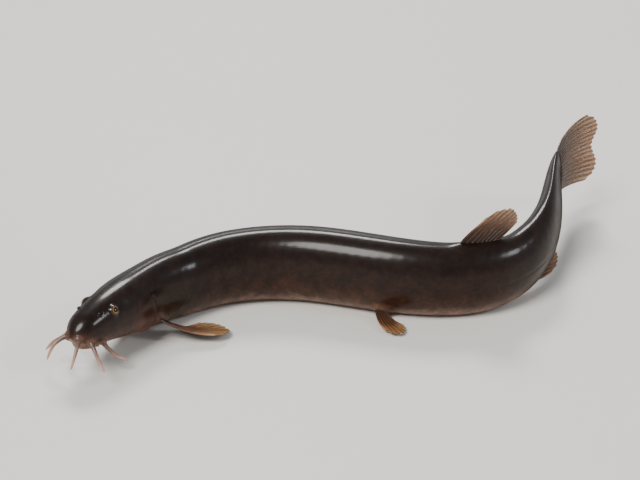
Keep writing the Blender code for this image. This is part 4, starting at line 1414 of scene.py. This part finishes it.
def stand_off(holder, aim, azimuth, elevation, distance):
    """Puts a camera or a light at a distance from a point, looking at it."""
    level = math.cos(elevation)
    way = Vector((math.sin(azimuth) * level, -math.cos(azimuth) * level, math.sin(elevation)))
    holder.location = aim + way * distance
    holder.rotation_euler = way.to_track_quat("Z", "Y").to_euler()


def add_light(name, azimuth, elevation, breadth, strength, colour):
    lamp = bpy.data.lights.new(name, "SUN")
    lamp.angle = math.radians(breadth)
    lamp.energy = strength
    lamp.color = colour
    holder = place_in_scene(name, lamp)
    stand_off(holder, Vector((0, 0, 0)), math.radians(azimuth), math.radians(elevation), LIGHT_DISTANCE)


def add_camera():
    look = bpy.context.scene.loach_stage
    camera = bpy.data.cameras.new("camera")
    camera.lens = look.lens
    camera.clip_start = NEAREST_SEEN
    holder = place_in_scene("camera", camera)
    aim = (Vector(CAD_BOX[0]) + Vector(CAD_BOX[1])) / 2 + Vector(AIM_SHIFT)
    distance = look.view_width / 2 / (camera.sensor_width / 2 / camera.lens)
    stand_off(holder, aim, look.azimuth, look.elevation, distance)
    bpy.context.scene.camera = holder


def build_world():
    """A pale room: bright round the horizon, a little darker overhead."""
    world = bpy.data.worlds.new("pale_studio")
    world.use_nodes = True
    tree = world.node_tree
    way = add_node(tree, "ShaderNodeTexCoord").outputs["Generated"]
    height = add_node(tree, "ShaderNodeSeparateXYZ", {0: way}).outputs["Z"]
    colour = add_node(tree, "ShaderNodeValToRGB", {"Fac": height}, ROOM)
    set_inputs(tree, tree.nodes["Background"], {"Color": colour})
    bpy.context.scene.world = world


def build_floor():
    """A wide, level floor."""
    half = FLOOR_HALF_WIDTH
    points = [(-half, -half, 0), (half, -half, 0), (half, half, 0), (-half, half, 0)]
    mesh = mesh_of("floor", points, [(0, 1, 2, 3)])
    mesh.materials.append(studio_floor())
    place_in_scene("floor", mesh)


# Settings


def colour_setting(name, description, hex_colour):
    colour = linear(hex_colour)
    return FloatVectorProperty(name=name, description=description, subtype="COLOR", default=colour)


def length_setting(name, description, length):
    return FloatProperty(name=name, description=description, unit="LENGTH", default=length)


def share_setting(name, description, share):
    return FloatProperty(name=name, description=description, subtype="FACTOR", default=share, min=0, max=1)


def angle_setting(name, description, degrees):
    angle = math.radians(degrees)
    return FloatProperty(name=name, description=description, subtype="ANGLE", default=angle)


class LoachSkinSettings(PropertyGroup):
    back_colour: colour_setting("Back", "Colour of the back", "#190f0a")
    flank_colour: colour_setting("Flank", "Colour of the upper flank", "#28170f")
    low_flank_colour: colour_setting("Low Flank", "Colour of the lower flank", "#3e271b")
    belly_colour: colour_setting("Belly", "Colour of the belly and throat", "#7b5e4e")
    lip_colour: colour_setting("Lips", "Colour of the lips", "#7a5747")
    gill_colour: colour_setting("Gills", "Colour that the gills lend to their cover", "#5e2b22")
    # Painted shade in slits, pits and folds, and round the eyes
    painted_shade_colour: colour_setting("Painted Shade", "Painted shade in slits, pits and folds", "#0d0706")
    slime: share_setting("Slime", "Weight of the clear slime coat", 0.5)
    scale_size: length_setting("Scale Size", "Width of a scale", 0.19 * MM)
    muscle_block: length_setting("Muscle Block", "Length of one block of muscle", 1.15 * MM)
    muscle_bend: length_setting("Muscle Bend", "How far the chevrons reach back", 1.2 * MM)
    muscle_depth: length_setting("Muscle Depth", "Depth of the lines between the blocks", 0.014 * MM)
    fold_height: length_setting("Fold Height", "Height of the skin's folds on the cheek", 0.02 * MM)


class LoachEyeSettings(PropertyGroup):
    pupil_colour: colour_setting("Pupil", "Colour of the pupil", "#050404")
    ring_colour: colour_setting("Ring", "Colour of the thin ring round the pupil", "#a87838")
    iris_colour: colour_setting("Iris", "Colour of the iris", "#412a18")
    rim_colour: colour_setting("Rim", "Colour of the iris's outer rim", "#1a100b")


class LoachBarbelSettings(PropertyGroup):
    root_colour: colour_setting("Root", "Colour at the root", "#3c291f")
    middle_colour: colour_setting("Middle", "Colour half way out", "#664a3a")
    tip_colour: colour_setting("Tip", "Colour at the tip", "#a58270")


class LoachFinSettings(PropertyGroup):
    root_colour: colour_setting("Root", "Colour at the fins' roots", "#2c190e")
    middle_colour: colour_setting("Middle", "Colour half way out", "#5c4027")
    web_colour: colour_setting("Web", "Colour of the thin web", "#9b774c")
    ray_colour: colour_setting("Rays", "Colour of the rays", "#583924")
    tip_colour: colour_setting("Tips", "Colour of the rays' tips", "#926d49")
    web_solidity: share_setting("Web Solidity", "How little shows through the web at its edge", 0.62)
    web_thickness: length_setting("Web Thickness", "Thickness of the web", 0.07 * MM)
    web_sag: length_setting("Web Sag", "How far the web bulges between rays", 0.03 * MM)
    ray_radius: length_setting("Ray Radius", "Radius of a ray at its root", 0.125 * MM)
    joint_length: length_setting("Joint Length", "Length of one joint of a ray", 0.31 * MM)


class LoachStageSettings(PropertyGroup):
    floor_colour: colour_setting("Floor", "Colour of the floor", "#cdcac4")
    azimuth: angle_setting("Azimuth", "Camera's angle round the fish", -26)
    elevation: angle_setting("Elevation", "Camera's angle over the floor", 27)
    lens: FloatProperty(name="Lens", description="Camera's focal length", unit="CAMERA", default=85)
    view_width: length_setting("View Width", "Width that the camera takes in", 67 * MM)


# Operators


class LOACH_OT_skin(Operator):
    """Build the whole body's skin"""

    bl_idname = "loach.skin"
    bl_label = "Skin"

    def execute(self, context):
        mesh = build_skin()
        mesh.materials.append(wet_skin())
        nodes = ("head", "trunk_front", "trunk_middle", "trunk_rear", "tail_stalk")
        place_piece("loach_skin", mesh, "skin", *nodes)
        return {"FINISHED"}


class LOACH_OT_eyes(Operator):
    """Build both eyes"""

    bl_idname = "loach.eyes"
    bl_label = "Eyes"

    def execute(self, context):
        iris = iris_and_pupil()
        for side, angle in both_sides(EYE_ANGLE):
            ball = build_eye(side, angle)
            ball.materials.append(iris)
            place_piece(f"eyeball_{side}", ball, "eye", f"eye_{side}")
        return {"FINISHED"}


class LOACH_OT_barbels(Operator):
    """Build the six barbels"""

    bl_idname = "loach.barbels"
    bl_label = "Barbels"

    def execute(self, context):
        tree, skin = tube_tree(), barbel_skin()
        for name, along, low, reach in BARBELS:
            for side, angle in both_sides(math.radians(low)):
                node = f"{name}_{side}"
                guide = lines_mesh(node, [barbel_path(along * MM, angle, reach)])
                made = shape_with_nodes(node + "_skin", guide, tree, skin, BARBEL_WRINKLES)
                place_piece(node + "_skin", made, "barbel", node)
        return {"FINISHED"}


class LOACH_OT_fins(Operator):
    """Build the webs and rays of all fins"""

    bl_idname = "loach.fins"
    bl_label = "Fins"

    def execute(self, context):
        tree, web, bone = tube_tree(), fin_web(), fin_ray()
        sizes = {"Groove Spacing": context.scene.loach_fins.joint_length, **RAY_JOINTS}
        for name, place, rays, forks, unbranched in all_fins():
            sheet = build_web(name + "_web", place, rays)
            sheet.materials.append(web)
            place_piece(name + "_web", sheet, "fin", name)
            guide = lines_mesh(name + "_rays", ray_paths(place, rays, forks, unbranched))
            made = shape_with_nodes(name + "_rays", guide, tree, bone, sizes)
            place_piece(name + "_rays", made, "fin")
        return {"FINISHED"}


class LOACH_OT_stage(Operator):
    """Set the floor, the lights and the camera"""

    bl_idname = "loach.stage"
    bl_label = "Stage"

    def execute(self, context):
        build_floor()
        build_world()
        for light in LIGHTS:
            add_light(*light)
        add_camera()
        return {"FINISHED"}


STEPS = (LOACH_OT_skin, LOACH_OT_eyes, LOACH_OT_barbels, LOACH_OT_fins, LOACH_OT_stage)
SETTINGS = {
    "loach_skin": LoachSkinSettings,
    "loach_eyes": LoachEyeSettings,
    "loach_barbels": LoachBarbelSettings,
    "loach_fins": LoachFinSettings,
    "loach_stage": LoachStageSettings,
}


class LOACH_PT_panel(Panel):
    bl_label = "Kuhli Loach"
    bl_space_type = "VIEW_3D"
    bl_region_type = "UI"
    bl_category = "Loach"

    def draw(self, context):
        for step in STEPS:
            self.layout.operator(step.bl_idname)
        for group in SETTINGS:
            settings = getattr(context.scene, group)
            box = self.layout.box()
            for name in settings.bl_rna.properties.keys():
                if name not in ("rna_type", "name"):
                    box.prop(settings, name)


CLASSES = (*SETTINGS.values(), *STEPS, LOACH_PT_panel)


def register():
    for made in CLASSES:
        bpy.utils.register_class(made)
    for name, settings in SETTINGS.items():
        setattr(bpy.types.Scene, name, PointerProperty(type=settings))


def unregister():
    for name in SETTINGS:
        delattr(bpy.types.Scene, name)
    for made in reversed(CLASSES):
        bpy.utils.unregister_class(made)


def main():
    register()
    shift_to_solids()
    bpy.ops.loach.skin()
    bpy.ops.loach.eyes()
    bpy.ops.loach.barbels()
    bpy.ops.loach.fins()
    bpy.ops.loach.stage()


if __name__ == "__main__":
    main()
